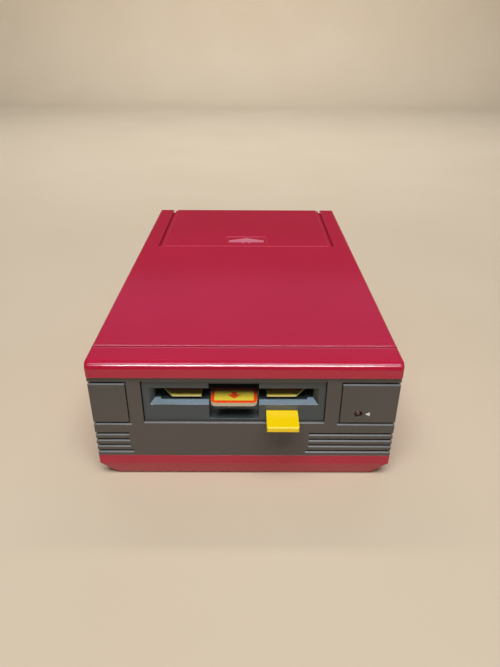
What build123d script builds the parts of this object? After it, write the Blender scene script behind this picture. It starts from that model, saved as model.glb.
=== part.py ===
from build123d import *
import math
import os

# Front-loading disk drive of a game console: a two-part moulded case with a dark front panel, a sliding
# battery lid, and a belt-driven disk mechanism behind the slot.
# Millimetres. +X is to the right seen from the front, +Y runs to the back and +Z is up.
# The origin is on the floor under the middle of the whole drive, its key included.
# The case is sized round what it holds: its width from the card, its depth from the drive train and the
# battery tray, and its height from the stack of boards, gears and holder.

os.makedirs("parts", exist_ok=True)

# Case
side_room = 36.05  # from the slot's end to the side of the body, with the slot in the middle
shell_wall = 2.5
foot_height = 1.0
skirt_height = 8.7  # sides of the top shell
skirt_overhang = 0.25  # the top shell stands past the sides and back below it
front_overhang = 1.2  # and past the front panel
sill_height = 14.5  # the front panel stands on the lower shell here
hull_height = 9.2  # the lower shell tapers in below this
hull_side_taper = 7.8
hull_end_taper = 2.7
body_corner_radius = 0.5
front_roll_radius = 4.0
top_edge_radius = 2.0
skirt_edge_radius = 0.4
crease_setback = 16.2  # groove across the top, its steep side to the back
crease_width = 1.7
crease_depth = 1.3
crease_lip = 0.4  # bevel over the steep side
crease_toe = 0.3  # and at its foot
overrun = 5.0  # cutting shapes run this far past the faces that they open

# Battery lid
lid_inset = 15.4  # raised panel of the lid, in from each side of the case
lid_ledge_width = 2.1  # lowered strip along each side
lid_ledge_drop = 1.2
lid_gap = 0.4  # in front of the lid
lid_side_gap = 1.6
lid_tongue_reach = 3.8  # past the strip, under the top shell
lid_tongue_thickness = 1.5
lid_clearance = 0.3
lid_rail_wall = 1.8
lid_edge_radius = 2.0
lid_setback = 8.0  # behind the drive's chassis
lid_margin = 2.9  # from the front of the lid to the battery tray
thumb_setback = 73.2  # back wall of the thumb recess, from the back of the case
thumb_width = 30.0
thumb_length = 18.0
thumb_depth = 0.5
arrow_width = 27.2
arrow_length = 11.6
arrow_blunt = 2.6  # height of the arrow's blunt ends
arrow_gap = 2.0  # from the arrow's point to the wall of the recess
arrow_stem_width = 6.4
arrow_stem_length = 1.2
arrow_relief = 0.09

# Front panel
panel_wall = 3.4
panel_wrap = 12.0  # the panel turns back this far along each side
panel_brow = 2.5  # from the window up to the top shell
window_margin = 5.9  # past each end of the slot
window_height = 24.2
window_depth = 1.5  # the bezel stands back from the panel's face
window_chamfer = 0.5  # along the foot of the window
slot_offset = -5.0  # middle of the slot and of the mechanism, from the middle of the case
groove_slit_height = 1.25
groove_slit_depth = 2.0
groove_chamfer = 0.62  # sloped lower lip of each groove
tile_brow = 0.15  # top of the tiles below the top of the window
tile_rise = 0.3  # foot of the tiles above the foot of the window
tile_foot_overrun = 0.6  # groove under each tile, past the tile's seam
tile_seam_width = 0.7
tile_seam_depth = 1.8
left_tile_gap = 6.7  # from the window to the left tile
right_tile_gap = 6.9
rib_top_share = 0.687  # of the height from the sill to the tiles
rib_pitch_share = 0.1715
rib_count = 4
left_rib_gap = 8.0  # from the left end of the window
right_rib_overlap = 7.2  # past the right end of the window
last_rib_extra = 1.5
lamp_inset = 18.843  # in from the side of the body
lamp_rise = 5.4  # above the foot of the window
lamp_hole_radius = 2.0
lamp_radius = 1.6
lamp_dome_radius = 1.3
lamp_setback = 0.6
lamp_length = 5.0
lamp_flange_radius = 2.6
lamp_flange_thickness = 1.0
lamp_board_width = 7.0
lamp_board_height = 12.0
lamp_board_thickness = 1.6
lamp_post_size = 1.6

# Bezel of the drive, seen in the panel's window
bezel_gap = 0.35
bezel_depth = 11.3
bezel_flange_reach = 2.4
bezel_flange_thickness = 1.6
slot_clearance_x = 0.8  # beside the card
slot_height = 7.0
lintel_height = 4.7
lip_rise = 2.7
lip_depth = 2.6
lip_flare = 2.4
lip_step_share = 0.75  # the lip is stepped down behind this part of its depth
lip_step_drop = 1.5
lip_step_inset = 3.0  # in from each end of the slot
notch_width = 24.4
notch_sill = 1.5  # above the foot of the window
notch_depth = 9.6  # below the slot
brow_notch_depth = 4.0  # above the slot

# Eject key
key_width = 15.4
key_thickness = 3.1
key_rise = 6.4  # top of the key above the foot of the window
key_share = 0.303  # middle of the key from the middle of the slot, of the slot's width
key_reach = 11.8  # proud of the panel
key_travel = 10.0
key_clearance = 0.25
key_edge_radius = 0.7
key_pocket_clearance = 0.1

# Shipping card
card_width = 76.0
card_length = 90.0
card_thickness = 1.0
card_setback = 4.2  # front edge of the card behind the panel's face
card_clearance = 0.2
card_corner_width = 7.6
card_corner_length = 10.0
tab_width = 22.6
tab_reach = 5.5
tab_length = 12.0  # sloped down to the front from here
tab_drop = 0.8
tab_thickness = 1.9
tab_corner_radius = 2.4
tab_slit_width = 4.8
tab_slit_length = 14.0

# Disk holder, lifted by pins in the slotted cheeks of the eject slider
holder_rise = 12.2  # its floor above the underside of the chassis plate
holder_gauge = 1.2
holder_side_clearance = 0.9
holder_height = 7.2
holder_ledge = 8.0
holder_front_gap = 0.5
holder_stop_height = 3.5
holder_stop_width = 9.0
holder_window_half_width = 16.0
holder_window_length = 32.0
holder_lift = 3.0
holder_pin_radius = 1.5
holder_pin_height = 3.4  # above the holder's floor
holder_pin_front = 9.0
holder_pin_back = 15.0
holder_pin_end = 1.0
slider_gauge = 1.5
slider_gap = 1.2
slider_floor_gap = 0.3
slider_bar_depth = 10.0
slider_cheek_rise = 7.5  # above the pins
slider_cheek_tail = 12.0  # behind the rear pins
slider_tongue_width = 10.0
slider_tongue_length = 6.0
slot_clearance = 0.15

# Drive chassis
chassis_gauge = 2.0
chassis_left_room = 8.8  # outside the side walls
chassis_right_room = 15.3
chassis_back_margin = 32.0  # behind the cam's axis
chassis_front_gap = 2.0  # behind the bezel
chassis_wall_gap = 0.9
chassis_wall_tail = 8.0
chassis_wall_rise = 7.5
chassis_foot_inset = 5.5
rod_lug_width = 5.6
rod_lug_depth = 3.6
rod_lug_rise = 2.6  # above the rods' axes
bush_radius = 5.0
bush_thickness = 1.5
chassis_post_radius = 4.0
chassis_screw_radius = 1.5
chassis_screw_depth = 8.0
screw_fit = 0.05
screw_hole_clearance = 0.3

# Spindle
hub_setback = 38.4  # axis of the spindle from the back edge of the card
shaft_radius = 2.0
shaft_fit = 0.05
flywheel_radius = 28.0
flywheel_thickness = 7.0
flywheel_gap = 5.9  # above the drive board
flywheel_rim = 5.0
flywheel_web = 3.0
flywheel_boss_radius = 6.0
bearing_radius = 5.0
bearing_flange_radius = 7.5
bearing_flange_thickness = 1.5
bearing_gap = 2.6  # above the pinion
bearing_rise = 2.0  # above the chassis plate
hub_gap = 0.8
hub_radius = 9.0
hub_thickness = 3.0
hub_boss_radius = 3.4
hub_card_gap = 0.8
hub_pin_radius = 1.0
hub_pin_offset = 6.2

# Motor and belt
motor_inset = 2.7  # axis of the motor inside the outer face of the chassis wall
motor_setback = 12.0  # behind the cam's axis
motor_radius = 14.0
motor_length = 24.0
motor_edge_radius = 1.5
motor_boss_radius = 4.0
motor_shaft_radius = 1.0
motor_shaft_seat = 21.0
motor_shaft_tip = 1.0
motor_can_wall = 1.2
rotor_radius = 10.5
rotor_length = 15.0
rotor_lift = 4.0  # above the chassis plate
pulley_radius = 4.0
pulley_flange_radius = 5.4
pulley_flange_thickness = 1.0
belt_width = 4.0
belt_thickness = 0.8
belt_fit = 0.1

# Gear train from the spindle to the cam
gear_module = 1.0
pinion_teeth = 12
wheel_teeth = 48
cam_teeth = 60
pressure_angle = 25.0
backlash = 0.2
addendum_share = 0.8
dedendum_share = 1.05
gear_width = 4.0
train_angle = 112.0  # direction of the reduction gear from the spindle
pinion_overlap = 0.3
wheel_gap = 1.6  # above the flywheel
stack_gap = 0.4
post_radius = 2.0
clip_radius = 4.0
clip_thickness = 0.8
clip_mouth = 2.6
post_tip = 0.6
felt_radius = 12.0
felt_thickness = 0.5

# Spiral cam and head carriage
cam_plate_gap = 0.6
cam_thickness = 4.4
cam_rim = 2.0
spiral_start = 8.0
head_travel = 19.0
cam_turn = 330.0
spiral_runout = 18.0
spiral_steps = 20
follower_radius = 1.5
follower_clearance = 0.2
spiral_depth = 3.0
follower_tip_gap = 0.4
follower_slot_margin = 1.2
carriage_gap = 1.5  # above the chassis plate
carriage_thickness = 6.0
carriage_half_width = 17.0
carriage_back_margin = 1.5
carriage_nose = 4.0  # past the head
carriage_nose_width = 12.0
carriage_saddle = 17.5  # length that rides on the rods
carriage_edge_radius = 1.0
rod_offset = 13.0
rod_radius = 1.5
rod_fit = 0.05
rod_front_margin = 3.0
rod_end_gap = 1.0
head_reach = 22.0  # from the follower to the head
head_width = 6.0
head_depth = 5.0
head_card_gap = 0.4
head_edge_radius = 0.8
ear_width = 2.0
ear_offset = 7.0
ear_depth = 5.0
ear_crown = 2.4  # above the pad arm's pin
pad_pin_rise = 8.5  # above the holder's floor
pad_pin_radius = 1.0
pad_arm_width = 8.0
pad_arm_thickness = 1.6
pad_arm_nose = 4.0
pad_arm_nose_radius = 2.6
pad_barrel_radius = 2.2
pad_radius = 2.2
pad_thickness = 2.0
pad_stem_radius = 1.6
pad_gap = 0.3

# Boards, sockets and wiring
board_thickness = 1.6
board_post_radius = 2.6
board_inset = 4.0
board_screw_radius = 1.0
board_screw_length = 3.6
board_screw_head_radius = 1.9
board_screw_head_height = 1.2
header_margin = 1.0
drive_board_height = 6.0
drive_board_inset = 1.7  # each side, in from the chassis walls
drive_board_length = 118.0
drive_board_setback = 17.0  # front edge behind the panel's face
power_board_height = 14.0
power_board_width = 84.0
power_board_length = 72.0
power_board_margin = 6.0  # back edge in front of the body's back
chip_width = 8.0
chip_length = 22.0
chip_height = 3.2
can_radius = 2.5
can_height = 4.6
tall_can_radius = 6.0
tall_can_height = 16.0
choke_width = 20.0
choke_length = 17.0
choke_height = 14.0
sink_width = 22.0
sink_height = 15.0
sink_fin = 1.5
sink_depth = 9.0
header_width = 26.0
header_depth = 5.0
header_height = 6.0
ribbon_width = 22.0
ribbon_thickness = 0.9
ribbon_height = 3.0  # above each board
ribbon_run = 12.0  # level run out of each header
ribbon_bend_radius = 3.0
socket_offset = -16.0
socket_width = 36.0
socket_height = 13.0
socket_depth = 14.0
socket_wall = 2.0
socket_pin_count = 6
socket_pin_pitch = 4.5
socket_pin_size = 0.8
socket_pin_length = 4.0
socket_row_pitch = 4.0
jack_offset = 24.0
jack_port_radius = 5.2
jack_width = 12.0
jack_height = 11.0
jack_depth = 14.0
jack_bore_radius = 3.1
jack_bore_depth = 10.0
jack_pin_radius = 1.0
jack_pin_gap = 1.0
port_clearance = 0.4
port_setback = 0.8

# Battery tray for three rows of cells laid across the case
cell_radius = 13.6
cell_pitch = 27.0
cell_sink = 12.6  # axes of the cells below the tray's rim
row_count = 3
row_half_length = 54.5
tray_wall = 2.0
tray_rim_gap = 0.5  # under the lid's tongues
tray_margin = 6.4  # from the tray to the back of the body
tray_post_radius = 4.0
tray_post_inset = 6.0
contact_width = 14.0
contact_height = 15.0
contact_thickness = 0.5

# Fixings
tower_inset = 11.6  # screw towers in from the sides of the body
tower_radius = 3.6
tower_drop = 2.0  # below the seam
case_screw_radius = 1.5
case_screw_bite = 5.0
screw_head_radius = 2.7
screw_head_height = 1.8
screw_sink = 3.4
foot_radius = 6.0
foot_sink = 0.6
foot_clearance = 0.1
foot_inset = 18.0

# Heights, stacked from the floor up
floor_height = foot_height + shell_wall
drive_board_top = drive_board_height + board_thickness
power_board_top = power_board_height + board_thickness
flywheel_bottom = drive_board_top + flywheel_gap
flywheel_top = flywheel_bottom + flywheel_thickness
belt_middle = (flywheel_bottom + flywheel_top) / 2
belt_bottom = belt_middle - belt_width / 2
wheel_bottom = flywheel_top + wheel_gap
wheel_top = wheel_bottom + gear_width
cam_gear_bottom = wheel_top + stack_gap
cam_gear_top = cam_gear_bottom + gear_width
cam_bottom = cam_gear_top + felt_thickness
cam_top = cam_bottom + cam_thickness
chassis_height = cam_top + cam_plate_gap
chassis_top = chassis_height + chassis_gauge
bearing_bottom = wheel_top + pinion_overlap + bearing_gap
bearing_top = chassis_top + bearing_rise
hub_bottom = bearing_top + hub_gap
hub_top = hub_bottom + hub_thickness
holder_floor = chassis_height + holder_rise
holder_roof = holder_floor + holder_height
hub_boss_top = holder_floor - hub_card_gap
pin_height = holder_floor + holder_pin_height
carriage_bottom = chassis_top + carriage_gap
carriage_top = carriage_bottom + carriage_thickness
rod_height = (carriage_bottom + carriage_top) / 2
pad_pin_height = holder_floor + pad_pin_rise
card_bottom = holder_floor + card_clearance / 2
card_top = card_bottom + card_thickness
head_top = card_bottom - head_card_gap
slot_bottom = card_bottom - card_clearance
slot_top = slot_bottom + slot_height
window_top = slot_top + lintel_height
window_bottom = window_top - window_height
notch_bottom = window_bottom + notch_sill
key_top = window_bottom + key_rise
key_bottom = key_top - key_thickness
key_middle = key_top - key_thickness / 2
lamp_height = window_bottom + lamp_rise
tile_top = window_top - tile_brow
tile_bottom = window_bottom + tile_rise
groove_height = groove_slit_height + groove_chamfer
rib_top = sill_height + rib_top_share * (tile_bottom - sill_height)
rib_pitch = rib_pitch_share * (tile_bottom - sill_height)
seam_height = window_top + panel_brow
case_height = seam_height + skirt_height
ceiling_height = case_height - shell_wall
tower_top = seam_height - tower_drop
tongue_top = ceiling_height - lid_clearance
tongue_bottom = tongue_top - lid_tongue_thickness
tray_rim = tongue_bottom - tray_rim_gap
cell_height = tray_rim - cell_sink
tray_bottom = cell_height - cell_radius - tray_wall
chassis_post_top = chassis_height - bush_thickness

# Widths, from the card out
slot_width = card_width + 2 * slot_clearance_x
window_width = slot_width + 2 * window_margin
window_x = (slot_offset - window_width / 2, slot_offset + window_width / 2)
body_half = slot_width / 2 + side_room
case_width = 2 * (body_half + skirt_overhang)
lid_panel_width = case_width - 2 * lid_inset
lid_half = lid_panel_width / 2 + lid_ledge_width
lid_opening_half = lid_half + lid_side_gap
tongue_half = lid_half + lid_tongue_reach
key_offset = slot_offset + key_share * slot_width
left_tile_x = window_x[0] - left_tile_gap
right_tile_x = window_x[1] + right_tile_gap
lamp_x = body_half - lamp_inset
holder_inner = card_width / 2 + holder_side_clearance
holder_outer = holder_inner + holder_gauge
cheek_inner = holder_outer + slider_gap
cheek_outer = cheek_inner + slider_gauge
wall_inner = cheek_outer + chassis_wall_gap
wall_outer = wall_inner + chassis_gauge
chassis_x = (slot_offset - wall_outer - chassis_left_room, slot_offset + wall_outer + chassis_right_room)
tray_x = (-row_half_length - tray_wall, row_half_length + tray_wall)

# Depths, from the front back: the drive train's length, then the battery tray's
first_centres = gear_module * (pinion_teeth + wheel_teeth) / 2
second_centres = gear_module * (pinion_teeth + cam_teeth) / 2
first_angle = math.radians(train_angle)
second_angle = math.acos(-first_centres * math.cos(first_angle) / second_centres)
train_length = first_centres * math.sin(first_angle) + second_centres * math.sin(second_angle)
drive_length = card_setback + card_length - hub_setback + train_length + chassis_back_margin
tray_length = cell_pitch * (row_count - 1) + 2 * (cell_radius + tray_wall)
lid_length = lid_margin + tray_length + tray_margin + skirt_overhang
case_depth = front_overhang + drive_length + lid_setback + lid_length
front_y = (key_reach - front_overhang - case_depth) / 2
back_y = front_y + case_depth
case_mid_y = (front_y + back_y) / 2
panel_y = front_y + front_overhang
panel_back_y = panel_y + panel_wall
body_back_y = back_y - skirt_overhang
body_length = body_back_y - panel_y
body_mid_y = (panel_y + body_back_y) / 2
lid_front_y = back_y - lid_length
bezel_y = panel_y + window_depth
bezel_back_y = bezel_y + bezel_depth
card_front_y = panel_y + card_setback
card_back_y = card_front_y + card_length
tab_front_y = card_front_y - tab_reach
tab_back_y = tab_front_y + tab_length
holder_front_y = bezel_back_y + holder_front_gap
holder_back_y = card_back_y + card_clearance + holder_gauge
pin_places = (holder_front_y + holder_pin_front, holder_back_y - holder_pin_back)
slider_front_y = holder_front_y + holder_front_gap
port_y = body_back_y - port_setback
tray_y = (body_back_y - tray_margin - tray_length, body_back_y - tray_margin)
rows = [tray_y[1] - tray_wall - cell_radius - cell_pitch * row for row in range(row_count)]

# Axes of the drive train
spindle_at = (slot_offset, card_back_y - hub_setback)
reduction_at = (
    spindle_at[0] + first_centres * math.cos(first_angle),
    spindle_at[1] + first_centres * math.sin(first_angle),
)
cam_at = (
    reduction_at[0] + second_centres * math.cos(second_angle),
    reduction_at[1] + second_centres * math.sin(second_angle),
)
motor_at = (slot_offset + wall_outer - motor_inset, cam_at[1] + motor_setback)
follower_at = (cam_at[0], cam_at[1] - spiral_start)
head_at = (follower_at[0], follower_at[1] - head_reach)
spiral_end = spiral_start + head_travel
cam_radius = spiral_end + follower_radius + follower_clearance + cam_rim
carriage_back_y = cam_at[1] + carriage_back_margin
carriage_front_y = head_at[1] - carriage_nose
rod_front_y = spindle_at[1] + rod_front_margin
rod_back_y = carriage_back_y + rod_end_gap
pad_pin_y = carriage_back_y - ear_depth / 2

# Feet of the chassis, screw towers of the case and rubber feet
chassis_front_y = bezel_back_y + chassis_front_gap
chassis_back_y = cam_at[1] + chassis_back_margin
chassis_feet = [
    (x, y)
    for x in (chassis_x[0] + chassis_foot_inset, chassis_x[1] - chassis_foot_inset)
    for y in (chassis_front_y + chassis_foot_inset, chassis_back_y - chassis_foot_inset)
]
towers = [
    (x, y)
    for x in (tower_inset - body_half, body_half - tower_inset)
    for y in ((panel_back_y + chassis_front_y) / 2, (chassis_back_y + lid_front_y) / 2)
]
feet = [
    (x, y)
    for x in (foot_inset - body_half, body_half - foot_inset)
    for y in (panel_y + foot_inset, body_back_y - foot_inset)
]

# Boards
drive_board_half = wall_outer - drive_board_inset
drive_board_x = (slot_offset - drive_board_half, slot_offset + drive_board_half)
drive_board_y = (panel_y + drive_board_setback, panel_y + drive_board_setback + drive_board_length)
power_board_x = (-power_board_width / 2, power_board_width / 2)
power_board_y = (body_back_y - power_board_margin - power_board_length, body_back_y - power_board_margin)
boards = (
    (drive_board_x, drive_board_y, drive_board_height),
    (power_board_x, power_board_y, power_board_height),
)


def block(xs, ys, zs, mode=Mode.ADD):
    """Box between two values on each axis, joined to or cut from the piece being built."""
    with Locations(((xs[0] + xs[1]) / 2, (ys[0] + ys[1]) / 2, (zs[0] + zs[1]) / 2)):
        Box(abs(xs[1] - xs[0]), abs(ys[1] - ys[0]), abs(zs[1] - zs[0]), mode=mode)


def disc(at, zs, radius, mode=Mode.ADD):
    """Upright cylinder at a place in plan, between two heights."""
    with Locations((at[0], at[1], (zs[0] + zs[1]) / 2)):
        Cylinder(radius, zs[1] - zs[0], mode=mode)


def about(middle, size):
    """Two values either side of a middle."""
    return middle - size / 2, middle + size / 2


def facing(y):
    """Upright plane across the case at a depth, seen from the front."""
    return Plane.XZ.offset(-y)


def corners(xs, ys, inset):
    """The four corners of a rectangle, brought in by an inset."""
    return [(x, y) for x in (xs[0] + inset, xs[1] - inset) for y in (ys[0] + inset, ys[1] - inset)]


def gear_points(at, teeth, tooth_direction):
    """Outline of a spur gear with involute flanks and a tooth centred on one direction, in radians."""
    pitch_radius = gear_module * teeth / 2
    base_radius = pitch_radius * math.cos(math.radians(pressure_angle))
    tip_radius = pitch_radius + addendum_share * gear_module
    root_radius = pitch_radius - dedendum_share * gear_module
    radii = sorted({root_radius, max(base_radius, root_radius), pitch_radius, tip_radius})
    half_pitch = math.pi / (2 * teeth) - backlash / (4 * pitch_radius)

    def involute(radius):
        angle = math.acos(min(base_radius / radius, 1))
        return math.tan(angle) - angle

    flank = [(radius, half_pitch + involute(pitch_radius) - involute(radius)) for radius in radii]
    tooth = [(radius, -width) for radius, width in flank]
    tooth += [(radius, width) for radius, width in reversed(flank)]
    points = []
    for number in range(teeth):
        middle = tooth_direction + number * 2 * math.pi / teeth
        for radius, swing in tooth:
            points.append(
                (at[0] + radius * math.cos(middle + swing), at[1] + radius * math.sin(middle + swing))
            )
    return points


def gear(at, teeth, tooth_direction, zs):
    """Spur gear between two heights, joined to the piece being built."""
    with BuildSketch(Plane.XY.offset(zs[0])) as outline:
        with BuildLine():
            Polyline(*gear_points(at, teeth, tooth_direction), close=True)
        make_face()
    extrude(outline.sketch, amount=zs[1] - zs[0])


def screw(at, seat, shank, radius, head_side):
    """Pan-head screw whose head rests on a seat, with its head above the seat (1) or below it (-1)."""
    disc(at, sorted((seat, seat + head_side * screw_head_height)), screw_head_radius)
    disc(at, sorted((seat, seat - head_side * shank)), radius)


def cut_groove(top, inner_x, side):
    """Slit over a sloped lip, along the panel's front to one side and back along that side."""
    steps = (
        (groove_slit_depth, 0),
        (groove_slit_depth, -groove_slit_height),
        (groove_chamfer, -groove_slit_height),
        (0, -groove_height),
    )
    with BuildSketch(Plane.YZ.offset(inner_x)) as front_profile:
        with BuildLine():
            Polyline(
                (panel_y - overrun, top),
                *[(panel_y + depth, top + drop) for depth, drop in steps],
                (panel_y - overrun, top - groove_height),
                close=True,
            )
        make_face()
    extrude(front_profile.sketch, amount=side * (body_half + overrun) - inner_x, mode=Mode.SUBTRACT)
    with BuildSketch(facing(panel_y + panel_wrap)) as side_profile:
        with BuildLine():
            Polyline(
                (side * (body_half + overrun), top),
                *[(side * (body_half - depth), top + drop) for depth, drop in steps],
                (side * (body_half + overrun), top - groove_height),
                close=True,
            )
        make_face()
    extrude(side_profile.sketch, amount=panel_wrap + overrun, mode=Mode.SUBTRACT)


def hull(inset, bottom, top, mode):
    """The lower shell's tapered outline, brought in by an inset, joined to or cut from the piece."""
    width = 2 * (body_half - inset)
    length = body_length - 2 * inset
    with BuildSketch(Plane.XY.offset(bottom)) as lower:
        with Locations((0, body_mid_y)):
            Rectangle(width - 2 * hull_side_taper, length - 2 * hull_end_taper)
    with BuildSketch(Plane.XY.offset(hull_height)) as upper:
        with Locations((0, body_mid_y)):
            Rectangle(width, length)
    loft([lower.sketch, upper.sketch], mode=mode)
    extrude(upper.sketch, amount=top - hull_height, mode=mode)


# Lower shell: a tapered tub with screw towers, posts for the chassis, boards and tray, and two ports
with BuildPart() as bottom_shell:
    hull(0, foot_height, seam_height, Mode.ADD)
    fillet(bottom_shell.edges().filter_by(Plane.XY, reverse=True), body_corner_radius)
    hull(shell_wall, floor_height, seam_height + overrun, Mode.SUBTRACT)
    block(
        about(0, 2 * (body_half + overrun)),
        (panel_y - overrun, panel_y + panel_wrap),
        (sill_height, seam_height + overrun),
        Mode.SUBTRACT,
    )
    footing = floor_height - shell_wall / 2
    for at in towers:
        disc(at, (footing, tower_top), tower_radius)
        disc(
            at,
            (foot_height - overrun, tower_top + overrun),
            case_screw_radius + screw_hole_clearance,
            Mode.SUBTRACT,
        )
        disc(
            at,
            (foot_height - overrun, foot_height + screw_sink),
            screw_head_radius + screw_hole_clearance,
            Mode.SUBTRACT,
        )
    for at in chassis_feet:
        disc(at, (footing, chassis_post_top), chassis_post_radius)
        disc(
            at,
            (chassis_post_top - chassis_screw_depth, chassis_post_top + overrun),
            chassis_screw_radius + screw_fit,
            Mode.SUBTRACT,
        )
    for xs, ys, height in boards:
        for at in corners(xs, ys, board_inset):
            disc(at, (footing, height), board_post_radius)
            disc(
                at,
                (height + board_thickness - board_screw_length, height + overrun),
                board_screw_radius + screw_fit,
                Mode.SUBTRACT,
            )
    for x in (tray_x[0] + tray_post_inset, tray_x[1] - tray_post_inset):
        for y in (rows[0], rows[-1]):
            disc((x, y), (footing, tray_bottom), tray_post_radius)
    for at in feet:
        disc(
            at,
            (foot_height - overrun, foot_height + foot_sink),
            foot_radius + foot_clearance,
            Mode.SUBTRACT,
        )
    block(
        about(socket_offset, socket_width + 2 * port_clearance),
        (body_back_y - shell_wall - port_clearance, body_back_y + overrun),
        (power_board_top - port_clearance, power_board_top + socket_height + port_clearance),
        Mode.SUBTRACT,
    )
    with BuildSketch(facing(body_back_y - shell_wall)):
        with Locations((jack_offset, power_board_top + jack_height / 2)):
            Circle(jack_port_radius)
    extrude(amount=-shell_wall - overrun, mode=Mode.SUBTRACT)

# Top shell: a shallow cover, rolled at its edges, open at the back for the battery lid and its rails
with BuildPart() as top_shell:
    with BuildSketch(Plane.YZ.offset(-case_width / 2)) as side_outline:
        with Locations((case_mid_y, (seam_height + case_height) / 2)):
            Rectangle(case_depth, skirt_height)
        fillet(side_outline.vertices().group_by(Axis.Y)[-1].sort_by(Axis.X)[0], front_roll_radius)
        fillet(side_outline.vertices().group_by(Axis.Y)[-1].sort_by(Axis.X)[-1], top_edge_radius)
    extrude(amount=case_width)
    side_edges = top_shell.faces().filter_by(Axis.X).edges()
    fillet(side_edges.filter_by_position(Axis.Z, seam_height, case_height, (False, True)), top_edge_radius)
    fillet(top_shell.faces().sort_by(Axis.Z)[0].edges(), skirt_edge_radius)
    block(
        about(0, case_width - 2 * shell_wall),
        about(case_mid_y, case_depth - 2 * shell_wall),
        (seam_height - overrun, ceiling_height),
        Mode.SUBTRACT,
    )
    crease_y = front_y + crease_setback
    with BuildSketch(Plane.YZ.offset(-case_width)):
        with BuildLine():
            Polyline(
                (crease_y - crease_width, case_height),
                (crease_y - crease_toe, case_height - crease_depth),
                (crease_y, case_height - crease_depth + crease_toe),
                (crease_y, case_height - crease_lip),
                (crease_y + crease_lip, case_height),
                close=True,
            )
        make_face()
    extrude(amount=2 * case_width, mode=Mode.SUBTRACT)
    block(
        about(0, 2 * lid_opening_half),
        (lid_front_y, back_y + overrun),
        (seam_height - overrun, case_height + overrun),
        Mode.SUBTRACT,
    )
    block(
        about(0, 2 * (tongue_half + lid_clearance)),
        (back_y - shell_wall - lid_clearance, back_y + overrun),
        (seam_height - overrun, ceiling_height),
        Mode.SUBTRACT,
    )
    for side in (-1, 1):
        shelf_top = tongue_bottom - lid_clearance
        web_inner = tongue_half + lid_clearance
        with BuildSketch(facing(back_y - shell_wall)):
            with BuildLine():
                Polyline(
                    (side * lid_opening_half, shelf_top),
                    (side * web_inner, shelf_top),
                    (side * web_inner, ceiling_height),
                    (side * (web_inner + lid_rail_wall), ceiling_height),
                    (side * (web_inner + lid_rail_wall), shelf_top - lid_rail_wall),
                    (side * lid_opening_half, shelf_top - lid_rail_wall),
                    close=True,
                )
            make_face()
        extrude(amount=lid_length - shell_wall)
    for at in towers:
        disc(at, (tower_top, ceiling_height), tower_radius)
        disc(
            at,
            (tower_top - overrun, tower_top + case_screw_bite),
            case_screw_radius + screw_fit,
            Mode.SUBTRACT,
        )

# Battery lid: slides to the back on its tongues, with a ramped thumb recess and an arrow
with BuildPart() as battery_lid:
    lid_y = (lid_front_y + lid_gap, back_y)
    block((-lid_half, lid_half), lid_y, (tongue_top, case_height))
    fillet(battery_lid.edges().filter_by(Axis.X).group_by(Axis.Z)[-1].sort_by(Axis.Y)[-1], top_edge_radius)
    fillet(battery_lid.edges().filter_by(Axis.X).group_by(Axis.Z)[-1].sort_by(Axis.Y)[0], lid_edge_radius)
    for side in (-1, 1):
        block(
            sorted(side * x for x in (lid_panel_width / 2, tongue_half)),
            lid_y,
            (tongue_bottom, tongue_top),
        )
    block(
        (-tongue_half, tongue_half),
        (back_y - shell_wall, back_y),
        (seam_height + lid_clearance, tongue_top),
    )
    for side in (-1, 1):
        block(
            sorted(side * x for x in (lid_panel_width / 2, lid_half + overrun)),
            (lid_front_y, back_y + overrun),
            (case_height - lid_ledge_drop, case_height + overrun),
            Mode.SUBTRACT,
        )
    thumb_back_y = back_y - thumb_setback
    thumb_front_y = thumb_back_y - thumb_length
    with BuildSketch(Plane.YZ.offset(-thumb_width / 2)):
        with BuildLine():
            Polyline(
                (thumb_front_y, case_height),
                (thumb_back_y, case_height - thumb_depth),
                (thumb_back_y, case_height),
                close=True,
            )
        make_face()
    extrude(amount=thumb_width, mode=Mode.SUBTRACT)
    arrow_tip = math.hypot(thumb_length, thumb_depth) - arrow_gap
    arrow_base = arrow_tip - arrow_length
    ramp = Plane((0, thumb_front_y, case_height), x_dir=(1, 0, 0), z_dir=(0, thumb_depth, thumb_length))
    with BuildSketch(ramp):
        with BuildLine():
            Polyline(
                (0, arrow_tip),
                (-arrow_width / 2, arrow_base + arrow_blunt),
                (-arrow_width / 2, arrow_base),
                (-arrow_stem_width / 2, arrow_base),
                (-arrow_stem_width / 2, arrow_base - arrow_stem_length),
                (arrow_stem_width / 2, arrow_base - arrow_stem_length),
                (arrow_stem_width / 2, arrow_base),
                (arrow_width / 2, arrow_base),
                (arrow_width / 2, arrow_base + arrow_blunt),
                close=True,
            )
        make_face()
    extrude(amount=arrow_relief)

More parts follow.
